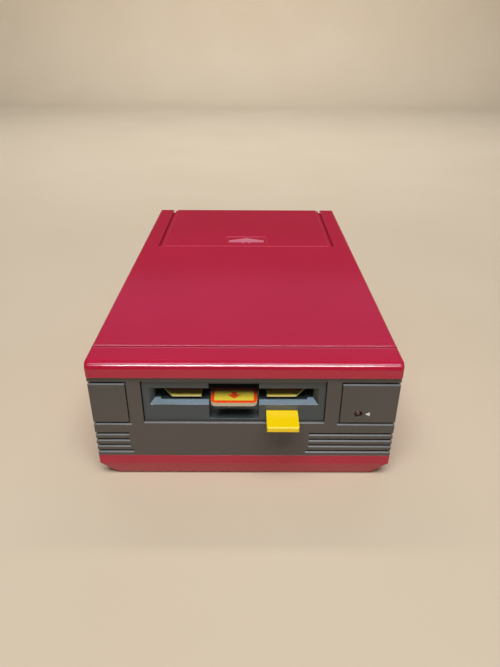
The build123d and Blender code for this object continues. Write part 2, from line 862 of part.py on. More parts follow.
# Front panel: turned back at both sides, with ruled grooves, two outlined tiles, the window and the lamp hole
lamp_board_y = panel_y + lamp_setback + lamp_length
with BuildPart() as front_panel:
    block((-body_half, body_half), (panel_y, panel_y + panel_wrap), (sill_height, seam_height))
    fillet(front_panel.edges().filter_by(Axis.Z).group_by(Axis.Y)[0], body_corner_radius)
    block(
        about(0, 2 * (body_half - panel_wall)),
        (panel_back_y, panel_y + panel_wrap + overrun),
        (sill_height - overrun, seam_height + overrun),
        Mode.SUBTRACT,
    )
    block(
        about(slot_offset, window_width),
        (panel_y - overrun, panel_back_y + overrun),
        (window_bottom, window_top),
        Mode.SUBTRACT,
    )
    with BuildSketch(Plane.YZ.offset(window_x[0])):
        with BuildLine():
            Polyline(
                (panel_y, window_bottom),
                (panel_y, window_bottom - window_chamfer),
                (panel_y + window_chamfer, window_bottom),
                close=True,
            )
        make_face()
    extrude(amount=window_width, mode=Mode.SUBTRACT)
    for side, tile_x in ((-1, left_tile_x), (1, right_tile_x)):
        cut_groove(tile_top, tile_x, side)
        cut_groove(tile_bottom, tile_x - side * tile_foot_overrun, side)
        block(
            sorted((tile_x, tile_x + side * tile_seam_width)),
            (panel_y - overrun, panel_y + tile_seam_depth),
            (tile_bottom - groove_slit_height, tile_top),
            Mode.SUBTRACT,
        )
    for number in range(rib_count):
        extra = last_rib_extra if number == rib_count - 1 else 0
        cut_groove(rib_top - number * rib_pitch, window_x[0] - left_rib_gap + extra, -1)
        cut_groove(rib_top - number * rib_pitch, window_x[1] - right_rib_overlap - extra, 1)
    with BuildSketch(facing(panel_y)):
        with Locations((lamp_x, lamp_height)):
            Circle(lamp_hole_radius)
    extrude(amount=-panel_wall, mode=Mode.SUBTRACT)
    lamp_corners = corners(
        about(lamp_x, lamp_board_width), about(lamp_height, lamp_board_height), lamp_post_size / 2
    )
    for x, z in lamp_corners:
        block(about(x, lamp_post_size), (panel_back_y, lamp_board_y), about(z, lamp_post_size))

# Lamp and its small board, behind the panel
with BuildPart() as lamp:
    with BuildSketch(facing(lamp_board_y)):
        with Locations((lamp_x, lamp_height)):
            Circle(lamp_radius)
    extrude(amount=lamp_length)
    fillet(lamp.faces().sort_by(Axis.Y)[0].edges(), lamp_dome_radius)
    with BuildSketch(facing(lamp_board_y)):
        with Locations((lamp_x, lamp_height)):
            Circle(lamp_flange_radius)
    extrude(amount=lamp_flange_thickness)
with BuildPart() as lamp_board:
    block(
        about(lamp_x, lamp_board_width),
        (lamp_board_y, lamp_board_y + lamp_board_thickness),
        about(lamp_height, lamp_board_height),
    )

# Bezel: a block in the window with the funnelled disk slot, the finger notch and the key's hole
with BuildPart() as drive_bezel:
    block(
        about(slot_offset, window_width - 2 * bezel_gap),
        (bezel_y, bezel_back_y),
        (window_bottom + bezel_gap, window_top - bezel_gap),
    )
    block(
        about(slot_offset, window_width + 2 * bezel_flange_reach),
        (panel_back_y, panel_back_y + bezel_flange_thickness),
        (window_bottom - bezel_flange_reach, window_top + bezel_flange_reach),
    )
    mouth_bottom = slot_bottom - lip_rise
    with BuildSketch(facing(bezel_y)):
        with Locations((slot_offset, (mouth_bottom + slot_top) / 2)):
            Rectangle(slot_width + 2 * lip_flare, slot_top - mouth_bottom)
    with BuildSketch(facing(bezel_y + lip_depth)):
        with Locations((slot_offset, (slot_bottom + slot_top) / 2)):
            Rectangle(slot_width, slot_top - slot_bottom)
    loft(mode=Mode.SUBTRACT)
    block(
        about(slot_offset, slot_width),
        (bezel_y + lip_depth, bezel_back_y + overrun),
        (slot_bottom, slot_top),
        Mode.SUBTRACT,
    )
    block(
        about(slot_offset, slot_width - 2 * lip_step_inset),
        (bezel_y + lip_step_share * lip_depth, bezel_back_y + overrun),
        (slot_bottom - lip_step_drop, slot_bottom),
        Mode.SUBTRACT,
    )
    for depth, notch_z in (
        (notch_depth, (notch_bottom, slot_bottom)),
        (brow_notch_depth, (slot_bottom, window_top - bezel_gap)),
    ):
        block(
            about(slot_offset, notch_width),
            (bezel_y - overrun, bezel_y + depth),
            notch_z,
            Mode.SUBTRACT,
        )
    block(
        about(key_offset, key_width + 2 * key_clearance),
        (bezel_y - overrun, bezel_back_y + overrun),
        (key_bottom - key_clearance, key_top + key_clearance),
        Mode.SUBTRACT,
    )

# Eject key, with a pocket for the slider's tongue
with BuildPart() as eject_key:
    block(about(key_offset, key_width), (panel_y - key_reach, slider_front_y), (key_bottom, key_top))
    fillet(eject_key.faces().sort_by(Axis.Y)[0].edges(), key_edge_radius)
    block(
        about(key_offset, slider_tongue_width + 2 * key_pocket_clearance),
        (slider_front_y - slider_tongue_length - key_pocket_clearance, slider_front_y + overrun),
        about(key_middle, slider_gauge + 2 * key_pocket_clearance),
        Mode.SUBTRACT,
    )

# Shipping card: a board with cut corners, and a thick tab that slopes down to the front between two slits
with BuildPart() as shipping_card:
    half_outline = [
        (tab_width / 2, tab_back_y),
        (tab_width / 2, card_front_y + tab_slit_length),
        (tab_width / 2 + tab_slit_width, card_front_y + tab_slit_length),
        (tab_width / 2 + tab_slit_width, card_front_y),
        (card_width / 2 - card_corner_width, card_front_y),
        (card_width / 2, card_front_y + card_corner_length),
        (card_width / 2, card_back_y),
    ]
    with BuildSketch(Plane.YZ.offset(slot_offset - tab_width / 2)):
        with BuildLine():
            Polyline(
                (tab_back_y, card_bottom),
                (tab_back_y, card_top),
                (tab_front_y, card_top - tab_drop),
                (tab_front_y, card_top - tab_drop - tab_thickness),
                close=True,
            )
        make_face()
    extrude(amount=tab_width)
    fillet(shipping_card.edges().filter_by(Axis.Z).group_by(Axis.Y)[0], tab_corner_radius)
    with BuildSketch(Plane.XY.offset(card_bottom)):
        with BuildLine():
            Polyline(
                *[(slot_offset + x, y) for x, y in half_outline],
                *[(slot_offset - x, y) for x, y in reversed(half_outline)],
                close=True,
            )
        make_face()
    extrude(amount=card_thickness)

# Disk holder: a folded cage with side ledges, an open floor, a window in its roof and stops at the back
with BuildPart() as disk_holder:
    through = (holder_front_y - overrun, holder_back_y + overrun)
    block(
        about(slot_offset, 2 * holder_outer),
        (holder_front_y, holder_back_y),
        (holder_floor - holder_gauge, holder_roof + holder_gauge),
    )
    block(about(slot_offset, 2 * holder_inner), through, (holder_floor, holder_roof), Mode.SUBTRACT)
    block(
        about(slot_offset, 2 * (holder_inner - holder_ledge)),
        through,
        (holder_floor - overrun, holder_floor),
        Mode.SUBTRACT,
    )
    block(
        about(slot_offset, 2 * holder_window_half_width),
        (holder_back_y - holder_window_length, holder_back_y + overrun),
        (holder_roof, holder_roof + overrun),
        Mode.SUBTRACT,
    )
    for side in (-1, 1):
        block(
            sorted(slot_offset + side * x for x in (holder_inner - holder_stop_width, holder_outer)),
            (holder_back_y - holder_gauge, holder_back_y),
            (holder_floor - holder_gauge, holder_floor + holder_stop_height),
        )
with BuildPart() as holder_pins:
    for side in (-1, 1):
        for y in pin_places:
            with BuildSketch(Plane.YZ.offset(slot_offset + side * holder_outer)):
                with Locations((y, pin_height)):
                    Circle(holder_pin_radius)
            extrude(amount=side * (wall_outer + holder_pin_end - holder_outer))

# Eject slider: two cheeks whose sloped slots lift the holder's pins, joined by a bar behind the key
pin_slot_width = 2 * (holder_pin_radius + slot_clearance)
with BuildPart() as eject_slider:
    for side in (-1, 1):
        cheek_y = (slider_front_y, pin_places[1] + slider_cheek_tail)
        cheek_z = (chassis_top + slider_floor_gap, pin_height + slider_cheek_rise)
        with BuildSketch(Plane.YZ.offset(slot_offset + side * cheek_inner)):
            with Locations((sum(cheek_y) / 2, sum(cheek_z) / 2)):
                Rectangle(cheek_y[1] - cheek_y[0], cheek_z[1] - cheek_z[0])
            with Locations(*[(y - key_travel / 2, pin_height + holder_lift / 2) for y in pin_places]):
                SlotCenterToCenter(
                    math.hypot(key_travel, holder_lift),
                    pin_slot_width,
                    rotation=math.degrees(math.atan2(holder_lift, -key_travel)),
                    mode=Mode.SUBTRACT,
                )
        extrude(amount=side * slider_gauge)
    block(
        about(slot_offset, 2 * cheek_outer),
        (slider_front_y, slider_front_y + slider_bar_depth),
        about(key_middle, slider_gauge),
    )
    block(
        about(key_offset, slider_tongue_width),
        (slider_front_y - slider_tongue_length, slider_front_y),
        about(key_middle, slider_gauge),
    )

# Chassis: a plate with slotted side walls and lugs for the carriage's rods
rod_lugs = ((rod_front_y, rod_front_y + rod_lug_depth), (rod_back_y, rod_back_y + rod_lug_depth))
plate_cut = (chassis_height - overrun, chassis_top + overrun)
with BuildPart() as chassis:
    block(chassis_x, (chassis_front_y, chassis_back_y), (chassis_height, chassis_top))
    for side in (-1, 1):
        wall_y = (chassis_front_y, pin_places[1] + chassis_wall_tail)
        wall_z = (chassis_top, pin_height + chassis_wall_rise)
        with BuildSketch(Plane.YZ.offset(slot_offset + side * wall_inner)):
            with Locations((sum(wall_y) / 2, sum(wall_z) / 2)):
                Rectangle(wall_y[1] - wall_y[0], wall_z[1] - wall_z[0])
            with Locations(*[(y, pin_height + holder_lift / 2) for y in pin_places]):
                SlotCenterToCenter(holder_lift, pin_slot_width, rotation=90, mode=Mode.SUBTRACT)
        extrude(amount=side * chassis_gauge)
        rod_x = slot_offset + side * rod_offset
        for lug_y in rod_lugs:
            block(about(rod_x, rod_lug_width), lug_y, (chassis_top, rod_height + rod_lug_rise))
        with BuildSketch(facing(rod_front_y - overrun)):
            with Locations((rod_x, rod_height)):
                Circle(rod_radius + rod_fit)
        extrude(amount=-(rod_lugs[1][1] - rod_front_y + 2 * overrun), mode=Mode.SUBTRACT)
    block(
        about(cam_at[0], 2 * (follower_radius + follower_slot_margin)),
        (
            follower_at[1] - head_travel - follower_radius - follower_slot_margin,
            follower_at[1] + follower_radius + follower_slot_margin,
        ),
        plate_cut,
        Mode.SUBTRACT,
    )
    disc(spindle_at, plate_cut, bearing_radius + shaft_fit, Mode.SUBTRACT)
    disc(motor_at, plate_cut, motor_boss_radius + screw_hole_clearance, Mode.SUBTRACT)
    for at in (reduction_at, cam_at):
        disc(at, plate_cut, post_radius + shaft_fit, Mode.SUBTRACT)
    for at in chassis_feet:
        disc(at, plate_cut, chassis_screw_radius + screw_hole_clearance, Mode.SUBTRACT)
with BuildPart() as rubber_bushes:
    for at in chassis_feet:
        bush_z = (chassis_post_top, chassis_height)
        disc(at, bush_z, bush_radius)
        disc(at, bush_z, chassis_screw_radius + screw_hole_clearance, Mode.SUBTRACT)

# Spindle: flywheel, shaft, drive hub and pinion, turning in a flanged bearing
spindle_axis = Axis((*spindle_at, 0), (0, 0, 1))
spindle_plane = Plane((*spindle_at, 0), x_dir=(1, 0, 0), z_dir=(0, -1, 0))
with BuildPart() as flywheel:
    bore = shaft_radius + shaft_fit
    with BuildSketch(spindle_plane):
        with BuildLine():
            Polyline(
                (bore, flywheel_bottom),
                (flywheel_radius, flywheel_bottom),
                (flywheel_radius, flywheel_top),
                (flywheel_radius - flywheel_rim, flywheel_top),
                (flywheel_radius - flywheel_rim, flywheel_bottom + flywheel_web),
                (flywheel_boss_radius, flywheel_bottom + flywheel_web),
                (flywheel_boss_radius, flywheel_top),
                (bore, flywheel_top),
                close=True,
            )
        make_face()
    revolve(axis=spindle_axis)
with BuildPart() as spindle_shaft:
    disc(spindle_at, (flywheel_bottom, hub_top), shaft_radius)
with BuildPart() as spindle_pinion:
    gear(spindle_at, pinion_teeth, first_angle, (flywheel_top, wheel_top + pinion_overlap))
    disc(spindle_at, (flywheel_top, wheel_top + overrun), shaft_radius + shaft_fit, Mode.SUBTRACT)
with BuildPart() as spindle_bearing:
    disc(spindle_at, (bearing_bottom, bearing_top), bearing_radius)
    disc(spindle_at, (chassis_height - bearing_flange_thickness, chassis_height), bearing_flange_radius)
    disc(spindle_at, (bearing_bottom, bearing_top), shaft_radius + shaft_fit, Mode.SUBTRACT)
with BuildPart() as spindle_hub:
    disc(spindle_at, (hub_bottom, hub_top), hub_radius)
    disc(spindle_at, (hub_bottom, hub_top), shaft_radius + shaft_fit, Mode.SUBTRACT)
    disc(spindle_at, (hub_top, hub_boss_top), hub_boss_radius)
    disc((spindle_at[0] + hub_pin_offset, spindle_at[1]), (hub_top, hub_boss_top), hub_pin_radius)

# Motor: a can with its rotor, shaft and pulley, and the belt round the pulley and the flywheel
with BuildPart() as motor:
    disc(motor_at, (chassis_top, chassis_top + motor_length), motor_radius)
    fillet(motor.faces().sort_by(Axis.Z)[-1].edges(), motor_edge_radius)
    disc(motor_at, (chassis_height, chassis_top), motor_boss_radius)
    disc(
        motor_at,
        (chassis_top + motor_can_wall, chassis_top + motor_length - motor_can_wall),
        motor_radius - motor_can_wall,
        Mode.SUBTRACT,
    )
    disc(
        motor_at,
        (chassis_height, chassis_top + motor_can_wall + overrun),
        motor_shaft_radius + shaft_fit,
        Mode.SUBTRACT,
    )
with BuildPart() as motor_shaft:
    disc(motor_at, (flywheel_bottom - motor_shaft_tip, chassis_top + motor_shaft_seat), motor_shaft_radius)
with BuildPart() as motor_rotor:
    rotor_z = (chassis_top + rotor_lift, chassis_top + rotor_lift + rotor_length)
    disc(motor_at, rotor_z, rotor_radius)
    disc(motor_at, rotor_z, motor_shaft_radius + shaft_fit, Mode.SUBTRACT)
with BuildPart() as motor_pulley:
    disc(motor_at, (flywheel_bottom, flywheel_top), pulley_radius)
    disc(motor_at, (flywheel_bottom, flywheel_bottom + pulley_flange_thickness), pulley_flange_radius)
    disc(motor_at, (flywheel_top - pulley_flange_thickness, flywheel_top), pulley_flange_radius)
    disc(motor_at, (flywheel_bottom, flywheel_top), motor_shaft_radius + shaft_fit, Mode.SUBTRACT)
with BuildPart() as drive_belt:
    for growth, mode in ((belt_fit + belt_thickness, Mode.ADD), (belt_fit, Mode.SUBTRACT)):
        with BuildSketch(Plane.XY.offset(belt_bottom)):
            for at, radius in ((spindle_at, flywheel_radius), (motor_at, pulley_radius)):
                with Locations(at):
                    Circle(radius + growth)
            make_hull()
        extrude(amount=belt_width, mode=mode)

# Gear train: the reduction gear and the cam gear on posts under the chassis, held by spring clips
with BuildPart() as reduction_gear:
    gear(reduction_at, wheel_teeth, first_angle + math.pi + math.pi / wheel_teeth, (wheel_bottom, wheel_top))
    gear(reduction_at, pinion_teeth, second_angle, (wheel_top, cam_gear_top))
    disc(reduction_at, (wheel_bottom, cam_gear_top), post_radius + shaft_fit, Mode.SUBTRACT)
with BuildPart() as cam_gear:
    gear(cam_at, cam_teeth, second_angle + math.pi + math.pi / cam_teeth, (cam_gear_bottom, cam_gear_top))
    disc(cam_at, (cam_gear_bottom, cam_gear_top), post_radius + shaft_fit, Mode.SUBTRACT)
with BuildPart() as clutch_felt:
    disc(cam_at, (cam_gear_top, cam_bottom), felt_radius)
    disc(cam_at, (cam_gear_top, cam_bottom), post_radius + shaft_fit, Mode.SUBTRACT)
clip_seats = ((reduction_at, wheel_bottom - stack_gap), (cam_at, cam_gear_bottom - stack_gap))
with BuildPart() as gear_posts:
    for at, seat in clip_seats:
        disc(at, (seat - clip_thickness - post_tip, chassis_top), post_radius)
with BuildPart() as retaining_clips:
    for at, seat in clip_seats:
        clip_z = (seat - clip_thickness, seat)
        disc(at, clip_z, clip_radius)
        disc(at, clip_z, post_radius + shaft_fit, Mode.SUBTRACT)
        block((at[0], at[0] + clip_radius), about(at[1], clip_mouth), clip_z, Mode.SUBTRACT)

# Spiral cam: one turn of its groove carries the follower, and the head with it, along the head's travel
spiral_growth = head_travel / math.radians(cam_turn)
spiral_half_width = follower_radius + follower_clearance


def spiral_points(side):
    """Points along one side of the spiral groove, run out past both ends of the travel."""
    points = []
    for step in range(spiral_steps + 1):
        turn = math.radians(-spiral_runout + step * (cam_turn + 2 * spiral_runout) / spiral_steps)
        radius = spiral_start + spiral_growth * turn
        radius += side * spiral_half_width * math.hypot(1, spiral_growth / radius)
        angle = -math.pi / 2 - turn
        points.append((cam_at[0] + radius * math.cos(angle), cam_at[1] + radius * math.sin(angle)))
    return points


with BuildPart() as spiral_cam:
    disc(cam_at, (cam_bottom, cam_top), cam_radius)
    inner, outer = spiral_points(-1), spiral_points(1)
    with BuildSketch(Plane.XY.offset(cam_top)):
        with BuildLine():
            Spline(*inner)
            Line(inner[-1], outer[-1])
            Spline(*outer)
            Line(outer[0], inner[0])
        make_face()
    extrude(amount=-spiral_depth, mode=Mode.SUBTRACT)
    disc(cam_at, (cam_bottom, cam_top), post_radius + shaft_fit, Mode.SUBTRACT)

# Head carriage on two rods, with the follower below, the head in front and the ears of the pad arm behind
with BuildPart() as head_carriage:
    block(
        about(slot_offset, 2 * carriage_half_width),
        (carriage_back_y - carriage_saddle, carriage_back_y),
        (carriage_bottom, carriage_top),
    )
    fillet(head_carriage.edges().filter_by(Axis.Z), carriage_edge_radius)
    block(
        about(slot_offset, carriage_nose_width),
        (carriage_front_y, carriage_back_y - carriage_saddle),
        (carriage_bottom, carriage_top),
    )
    for side in (-1, 1):
        block(
            sorted(slot_offset + side * x for x in (ear_offset, ear_offset + ear_width)),
            (carriage_back_y - ear_depth, carriage_back_y),
            (carriage_top, pad_pin_height + ear_crown),
        )
        with BuildSketch(facing(carriage_back_y)):
            with Locations((slot_offset + side * rod_offset, rod_height)):
                Circle(rod_radius + rod_fit)
        extrude(amount=carriage_saddle, mode=Mode.SUBTRACT)
    with BuildSketch(Plane.YZ.offset(slot_offset - ear_offset - ear_width)):
        with Locations((pad_pin_y, pad_pin_height)):
            Circle(pad_pin_radius + rod_fit)
    extrude(amount=2 * (ear_offset + ear_width), mode=Mode.SUBTRACT)
with BuildPart() as guide_rods:
    for side in (-1, 1):
        with BuildSketch(facing(rod_front_y)):
            with Locations((slot_offset + side * rod_offset, rod_height)):
                Circle(rod_radius)
        extrude(amount=-(rod_lugs[1][1] - rod_front_y))
with BuildPart() as read_head:
    block(about(head_at[0], head_width), about(head_at[1], head_depth), (carriage_top, head_top))
    fillet(read_head.faces().sort_by(Axis.Z)[-1].edges(), head_edge_radius)
with BuildPart() as follower_pin:
    disc(follower_at, (cam_top - spiral_depth + follower_tip_gap, carriage_bottom), follower_radius)

# Pad arm: swings up on its pin as the holder lifts
pad_bottom = card_top + pad_gap
arm_bottom = pad_pin_height - pad_arm_thickness / 2
with BuildPart() as pad_arm:
    block(
        about(slot_offset, pad_arm_width),
        (head_at[1] - pad_arm_nose, pad_pin_y),
        (arm_bottom, arm_bottom + pad_arm_thickness),
    )
    fillet(pad_arm.edges().filter_by(Axis.Z).group_by(Axis.Y)[0], pad_arm_nose_radius)
    with BuildSketch(Plane.YZ.offset(slot_offset - ear_offset + slot_clearance)):
        with Locations((pad_pin_y, pad_pin_height)):
            Circle(pad_barrel_radius)
    extrude(amount=2 * (ear_offset - slot_clearance))
    with BuildSketch(Plane.YZ.offset(slot_offset - ear_offset)):
        with Locations((pad_pin_y, pad_pin_height)):
            Circle(pad_pin_radius + rod_fit)
    extrude(amount=2 * ear_offset, mode=Mode.SUBTRACT)
    disc(head_at, (pad_bottom + pad_thickness, arm_bottom), pad_stem_radius)
with BuildPart() as felt_pad:
    disc(head_at, (pad_bottom, pad_bottom + pad_thickness), pad_radius)
with BuildPart() as pad_pin:
    with BuildSketch(Plane.YZ.offset(slot_offset - ear_offset - ear_width)):
        with Locations((pad_pin_y, pad_pin_height)):
            Circle(pad_pin_radius)
    extrude(amount=2 * (ear_offset + ear_width))

# Boards with their parts, placed by shares of each board's size
drive_chip_shares = ((-0.26, -0.3), (0.24, -0.28), (-0.22, 0.16))
drive_can_shares = ((0.1, 0.2), (0.22, 0.2), (0.34, 0.2), (0.34, 0.05))
power_can_shares = ((-0.32, -0.24), (-0.12, -0.24))
power_choke_share = (0.26, -0.18)
power_sink_share = (0.3, 0.12)


def board_places(xs, ys, shares):
    """Places on a board, from shares of its width and length about its middle."""
    return [
        ((xs[0] + xs[1]) / 2 + across * (xs[1] - xs[0]), (ys[0] + ys[1]) / 2 + along * (ys[1] - ys[0]))
        for across, along in shares
    ]


def board(xs, ys, height):
    """Circuit board with a screw hole in each corner."""
    block(xs, ys, (height, height + board_thickness))
    for at in corners(xs, ys, board_inset):
        disc(at, (height, height + board_thickness), board_screw_radius + screw_fit, Mode.SUBTRACT)


with BuildPart() as drive_board:
    board(drive_board_x, drive_board_y, drive_board_height)
with BuildPart() as power_board:
    board(power_board_x, power_board_y, power_board_height)
drive_header_y = (drive_board_y[1] - header_margin - header_depth, drive_board_y[1] - header_margin)
power_header_y = (power_board_y[0] + header_margin, power_board_y[0] + header_margin + header_depth)
with BuildPart() as drive_board_parts:
    for x, y in board_places(drive_board_x, drive_board_y, drive_chip_shares):
        block(about(x, chip_length), about(y, chip_width), (drive_board_top, drive_board_top + chip_height))
    for at in board_places(drive_board_x, drive_board_y, drive_can_shares):
        disc(at, (drive_board_top, drive_board_top + can_height), can_radius)
    header_z = (drive_board_top, drive_board_top + header_height)
    block(about(slot_offset, header_width), drive_header_y, header_z)
with BuildPart() as power_board_parts:
    for at in board_places(power_board_x, power_board_y, power_can_shares):
        disc(at, (power_board_top, power_board_top + tall_can_height), tall_can_radius)
    choke_x, choke_y = board_places(power_board_x, power_board_y, [power_choke_share])[0]
    block(
        about(choke_x, choke_width),
        about(choke_y, choke_length),
        (power_board_top, power_board_top + choke_height),
    )
    sink_x, sink_y = board_places(power_board_x, power_board_y, [power_sink_share])[0]
    sink_z = (power_board_top, power_board_top + sink_height)
    block(about(sink_x, sink_width), about(sink_y, sink_fin), sink_z)
    for x in (sink_x - sink_width / 2, sink_x, sink_x + sink_width / 2):
        block(about(x, sink_fin), about(sink_y, sink_depth), sink_z)
    header_z = (power_board_top, power_board_top + header_height)
    block(about(slot_offset, header_width), power_header_y, header_z)
with BuildPart() as board_screws:
    for xs, ys, height in boards:
        for at in corners(xs, ys, board_inset):
            top = height + board_thickness
            disc(at, (top, top + board_screw_head_height), board_screw_head_radius)
            disc(at, (top - board_screw_length, top), board_screw_radius)
with BuildPart() as ribbon_cable:
    with BuildSketch(Plane.YZ.offset(slot_offset - ribbon_width / 2)):
        with BuildLine():
            FilletPolyline(
                (drive_header_y[1], drive_board_top + ribbon_height),
                (drive_header_y[1] + ribbon_run, drive_board_top + ribbon_height),
                (power_header_y[0] - ribbon_run, power_board_top + ribbon_height),
                (power_header_y[0], power_board_top + ribbon_height),
                radius=ribbon_bend_radius,
            )
        trace(line_width=ribbon_thickness)
    extrude(amount=ribbon_width)

# Sockets at the back, soldered to the power board
socket_z = (power_board_top, power_board_top + socket_height)
socket_floor_y = port_y - socket_depth + socket_wall
jack_height_z = power_board_top + jack_height / 2
jack_face_y = body_back_y - shell_wall
with BuildPart() as adapter_socket:
    block(about(socket_offset, socket_width), (port_y - socket_depth, port_y), socket_z)
    block(
        about(socket_offset, socket_width - 2 * socket_wall),
        (socket_floor_y, port_y + overrun),
        (socket_z[0] + socket_wall, socket_z[1] - socket_wall),
        Mode.SUBTRACT,
    )
with BuildPart() as socket_pins:
    with BuildSketch(facing(socket_floor_y)):
        with Locations((socket_offset, sum(socket_z) / 2)):
            with GridLocations(socket_pin_pitch, socket_row_pitch, socket_pin_count, 2):
                Rectangle(socket_pin_size, socket_pin_size)
    extrude(amount=-socket_pin_length)
with BuildPart() as power_jack:
    block(
        about(jack_offset, jack_width),
        (jack_face_y - jack_depth, jack_face_y),
        (power_board_top, power_board_top + jack_height),
    )
    with BuildSketch(facing(jack_face_y)):
        with Locations((jack_offset, jack_height_z)):
            Circle(jack_bore_radius)
    extrude(amount=jack_bore_depth, mode=Mode.SUBTRACT)
with BuildPart() as jack_pin:
    with BuildSketch(facing(jack_face_y - jack_pin_gap)):
        with Locations((jack_offset, jack_height_z)):
            Circle(jack_pin_radius)
    extrude(amount=jack_bore_depth - jack_pin_gap)

# Battery tray: three round-bottomed troughs side by side, with contacts at their ends
with BuildPart() as battery_tray:
    for radius, half_length, top, mode in (
        (cell_radius + tray_wall, row_half_length + tray_wall, tray_rim, Mode.ADD),
        (cell_radius, row_half_length, tray_rim + overrun, Mode.SUBTRACT),
    ):
        with BuildSketch(Plane.YZ.offset(-half_length)):
            with Locations(*[(y, cell_height) for y in rows]):
                Circle(radius)
            with Locations((sum(rows) / row_count, (cell_height + top) / 2)):
                Rectangle(rows[0] - rows[-1] + 2 * radius, top - cell_height)
        extrude(amount=2 * half_length, mode=mode)
    block(tray_x, tray_y, (tray_rim, tray_rim + cell_radius), Mode.SUBTRACT)
with BuildPart() as battery_contacts:
    for side in (-1, 1):
        for y in rows:
            block(
                sorted(side * x for x in (row_half_length - contact_thickness, row_half_length)),
                about(y, contact_width),
                about(cell_height, contact_height),
            )

# Fixings and feet
with BuildPart() as case_screws:
    for at in towers:
        seat = foot_height + screw_sink
        screw(at, seat, tower_top + case_screw_bite - seat, case_screw_radius, -1)
with BuildPart() as chassis_screws:
    for at in chassis_feet:
        screw(at, chassis_top, chassis_top - chassis_post_top + chassis_screw_depth, chassis_screw_radius, 1)
with BuildPart() as rubber_feet:
    for at in feet:
        disc(at, (0, foot_height + foot_sink), foot_radius)

pieces = {
    "top_shell": top_shell,
    "bottom_shell": bottom_shell,
    "front_panel": front_panel,
    "drive_bezel": drive_bezel,
    "battery_lid": battery_lid,
    "eject_key": eject_key,
    "shipping_card": shipping_card,
    "lamp": lamp,
    "lamp_board": lamp_board,
    "disk_holder": disk_holder,
    "holder_pins": holder_pins,
    "eject_slider": eject_slider,
    "chassis": chassis,
    "rubber_bushes": rubber_bushes,
    "flywheel": flywheel,
    "spindle_shaft": spindle_shaft,
    "spindle_pinion": spindle_pinion,
    "spindle_bearing": spindle_bearing,
    "spindle_hub": spindle_hub,
    "motor": motor,
    "motor_shaft": motor_shaft,
    "motor_rotor": motor_rotor,
    "motor_pulley": motor_pulley,
    "drive_belt": drive_belt,
    "reduction_gear": reduction_gear,
    "cam_gear": cam_gear,
    "clutch_felt": clutch_felt,
    "gear_posts": gear_posts,
    "retaining_clips": retaining_clips,
    "spiral_cam": spiral_cam,
    "head_carriage": head_carriage,
    "guide_rods": guide_rods,
    "read_head": read_head,
    "follower_pin": follower_pin,
    "pad_arm": pad_arm,
    "felt_pad": felt_pad,
    "pad_pin": pad_pin,
    "drive_board": drive_board,
    "drive_board_parts": drive_board_parts,
    "power_board": power_board,
    "power_board_parts": power_board_parts,
    "board_screws": board_screws,
    "ribbon_cable": ribbon_cable,
    "adapter_socket": adapter_socket,
    "socket_pins": socket_pins,
    "power_jack": power_jack,
    "jack_pin": jack_pin,
    "battery_tray": battery_tray,
    "battery_contacts": battery_contacts,
    "case_screws": case_screws,
    "chassis_screws": chassis_screws,
    "rubber_feet": rubber_feet,
}
for name, piece in pieces.items():
    piece.part.label = name
    export_step(piece.part, f"parts/{name}.step")
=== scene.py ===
import math

import bmesh
import bpy
from mathutils import Matrix, Vector


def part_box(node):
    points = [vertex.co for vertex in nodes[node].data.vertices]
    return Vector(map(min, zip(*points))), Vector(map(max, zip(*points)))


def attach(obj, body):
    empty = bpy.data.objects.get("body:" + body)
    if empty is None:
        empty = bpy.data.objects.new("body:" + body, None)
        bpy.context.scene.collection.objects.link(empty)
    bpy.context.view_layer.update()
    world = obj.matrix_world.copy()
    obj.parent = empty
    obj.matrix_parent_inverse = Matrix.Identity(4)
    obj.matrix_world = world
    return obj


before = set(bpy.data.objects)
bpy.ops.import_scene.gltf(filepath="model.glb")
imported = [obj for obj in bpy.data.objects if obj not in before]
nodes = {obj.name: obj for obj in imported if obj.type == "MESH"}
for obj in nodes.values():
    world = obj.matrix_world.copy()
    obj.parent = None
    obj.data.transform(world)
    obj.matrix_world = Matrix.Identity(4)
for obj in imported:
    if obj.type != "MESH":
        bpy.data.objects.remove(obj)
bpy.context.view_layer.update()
mm = 0.001  # the frame is in metres, sizes below are in millimetres
caseLow, caseHigh = (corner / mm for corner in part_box("top_shell"))
lidLow, lidHigh = (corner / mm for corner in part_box("battery_lid"))
cardLow, cardHigh = (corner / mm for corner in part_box("shipping_card"))
print("frame loaded with", len(nodes), "nodes")


# camera: the view of the photograph, fitted to the corners of the case
photoView = {
    "place": (2.11, caseLow.y - 211.99, 202.96),
    "pitchDown": 28.75,
    "yaw": 0.139,
    "roll": 0.268,
    "focalPixels": 539.5,
    "longSidePixels": 667,
    "sensor": 36.0,
    "clip": (0.01, 50),  # metres
}


def placeCamera(view):
    pitch, yaw, roll = (math.radians(view[key]) for key in ("pitchDown", "yaw", "roll"))
    ahead = Vector((math.sin(yaw) * math.cos(pitch), math.cos(yaw) * math.cos(pitch), -math.sin(pitch)))
    level = Vector((math.cos(yaw), -math.sin(yaw), 0))
    above = level.cross(ahead)
    right = level * math.cos(roll) + above * math.sin(roll)
    up = above * math.cos(roll) - level * math.sin(roll)
    lens = bpy.data.cameras.new("photoLens")
    lens.sensor_fit = "AUTO"
    lens.sensor_width = view["sensor"]
    lens.lens = view["focalPixels"] / view["longSidePixels"] * view["sensor"]
    lens.clip_start, lens.clip_end = view["clip"]
    cam = bpy.data.objects.new("photoCamera", lens)
    bpy.context.scene.collection.objects.link(cam)
    turn = Matrix((right, up, -ahead)).transposed().to_4x4()
    cam.matrix_world = Matrix.Translation(Vector(view["place"]) * mm) @ turn
    bpy.context.scene.camera = cam


placeCamera(photoView)
print("camera placed")


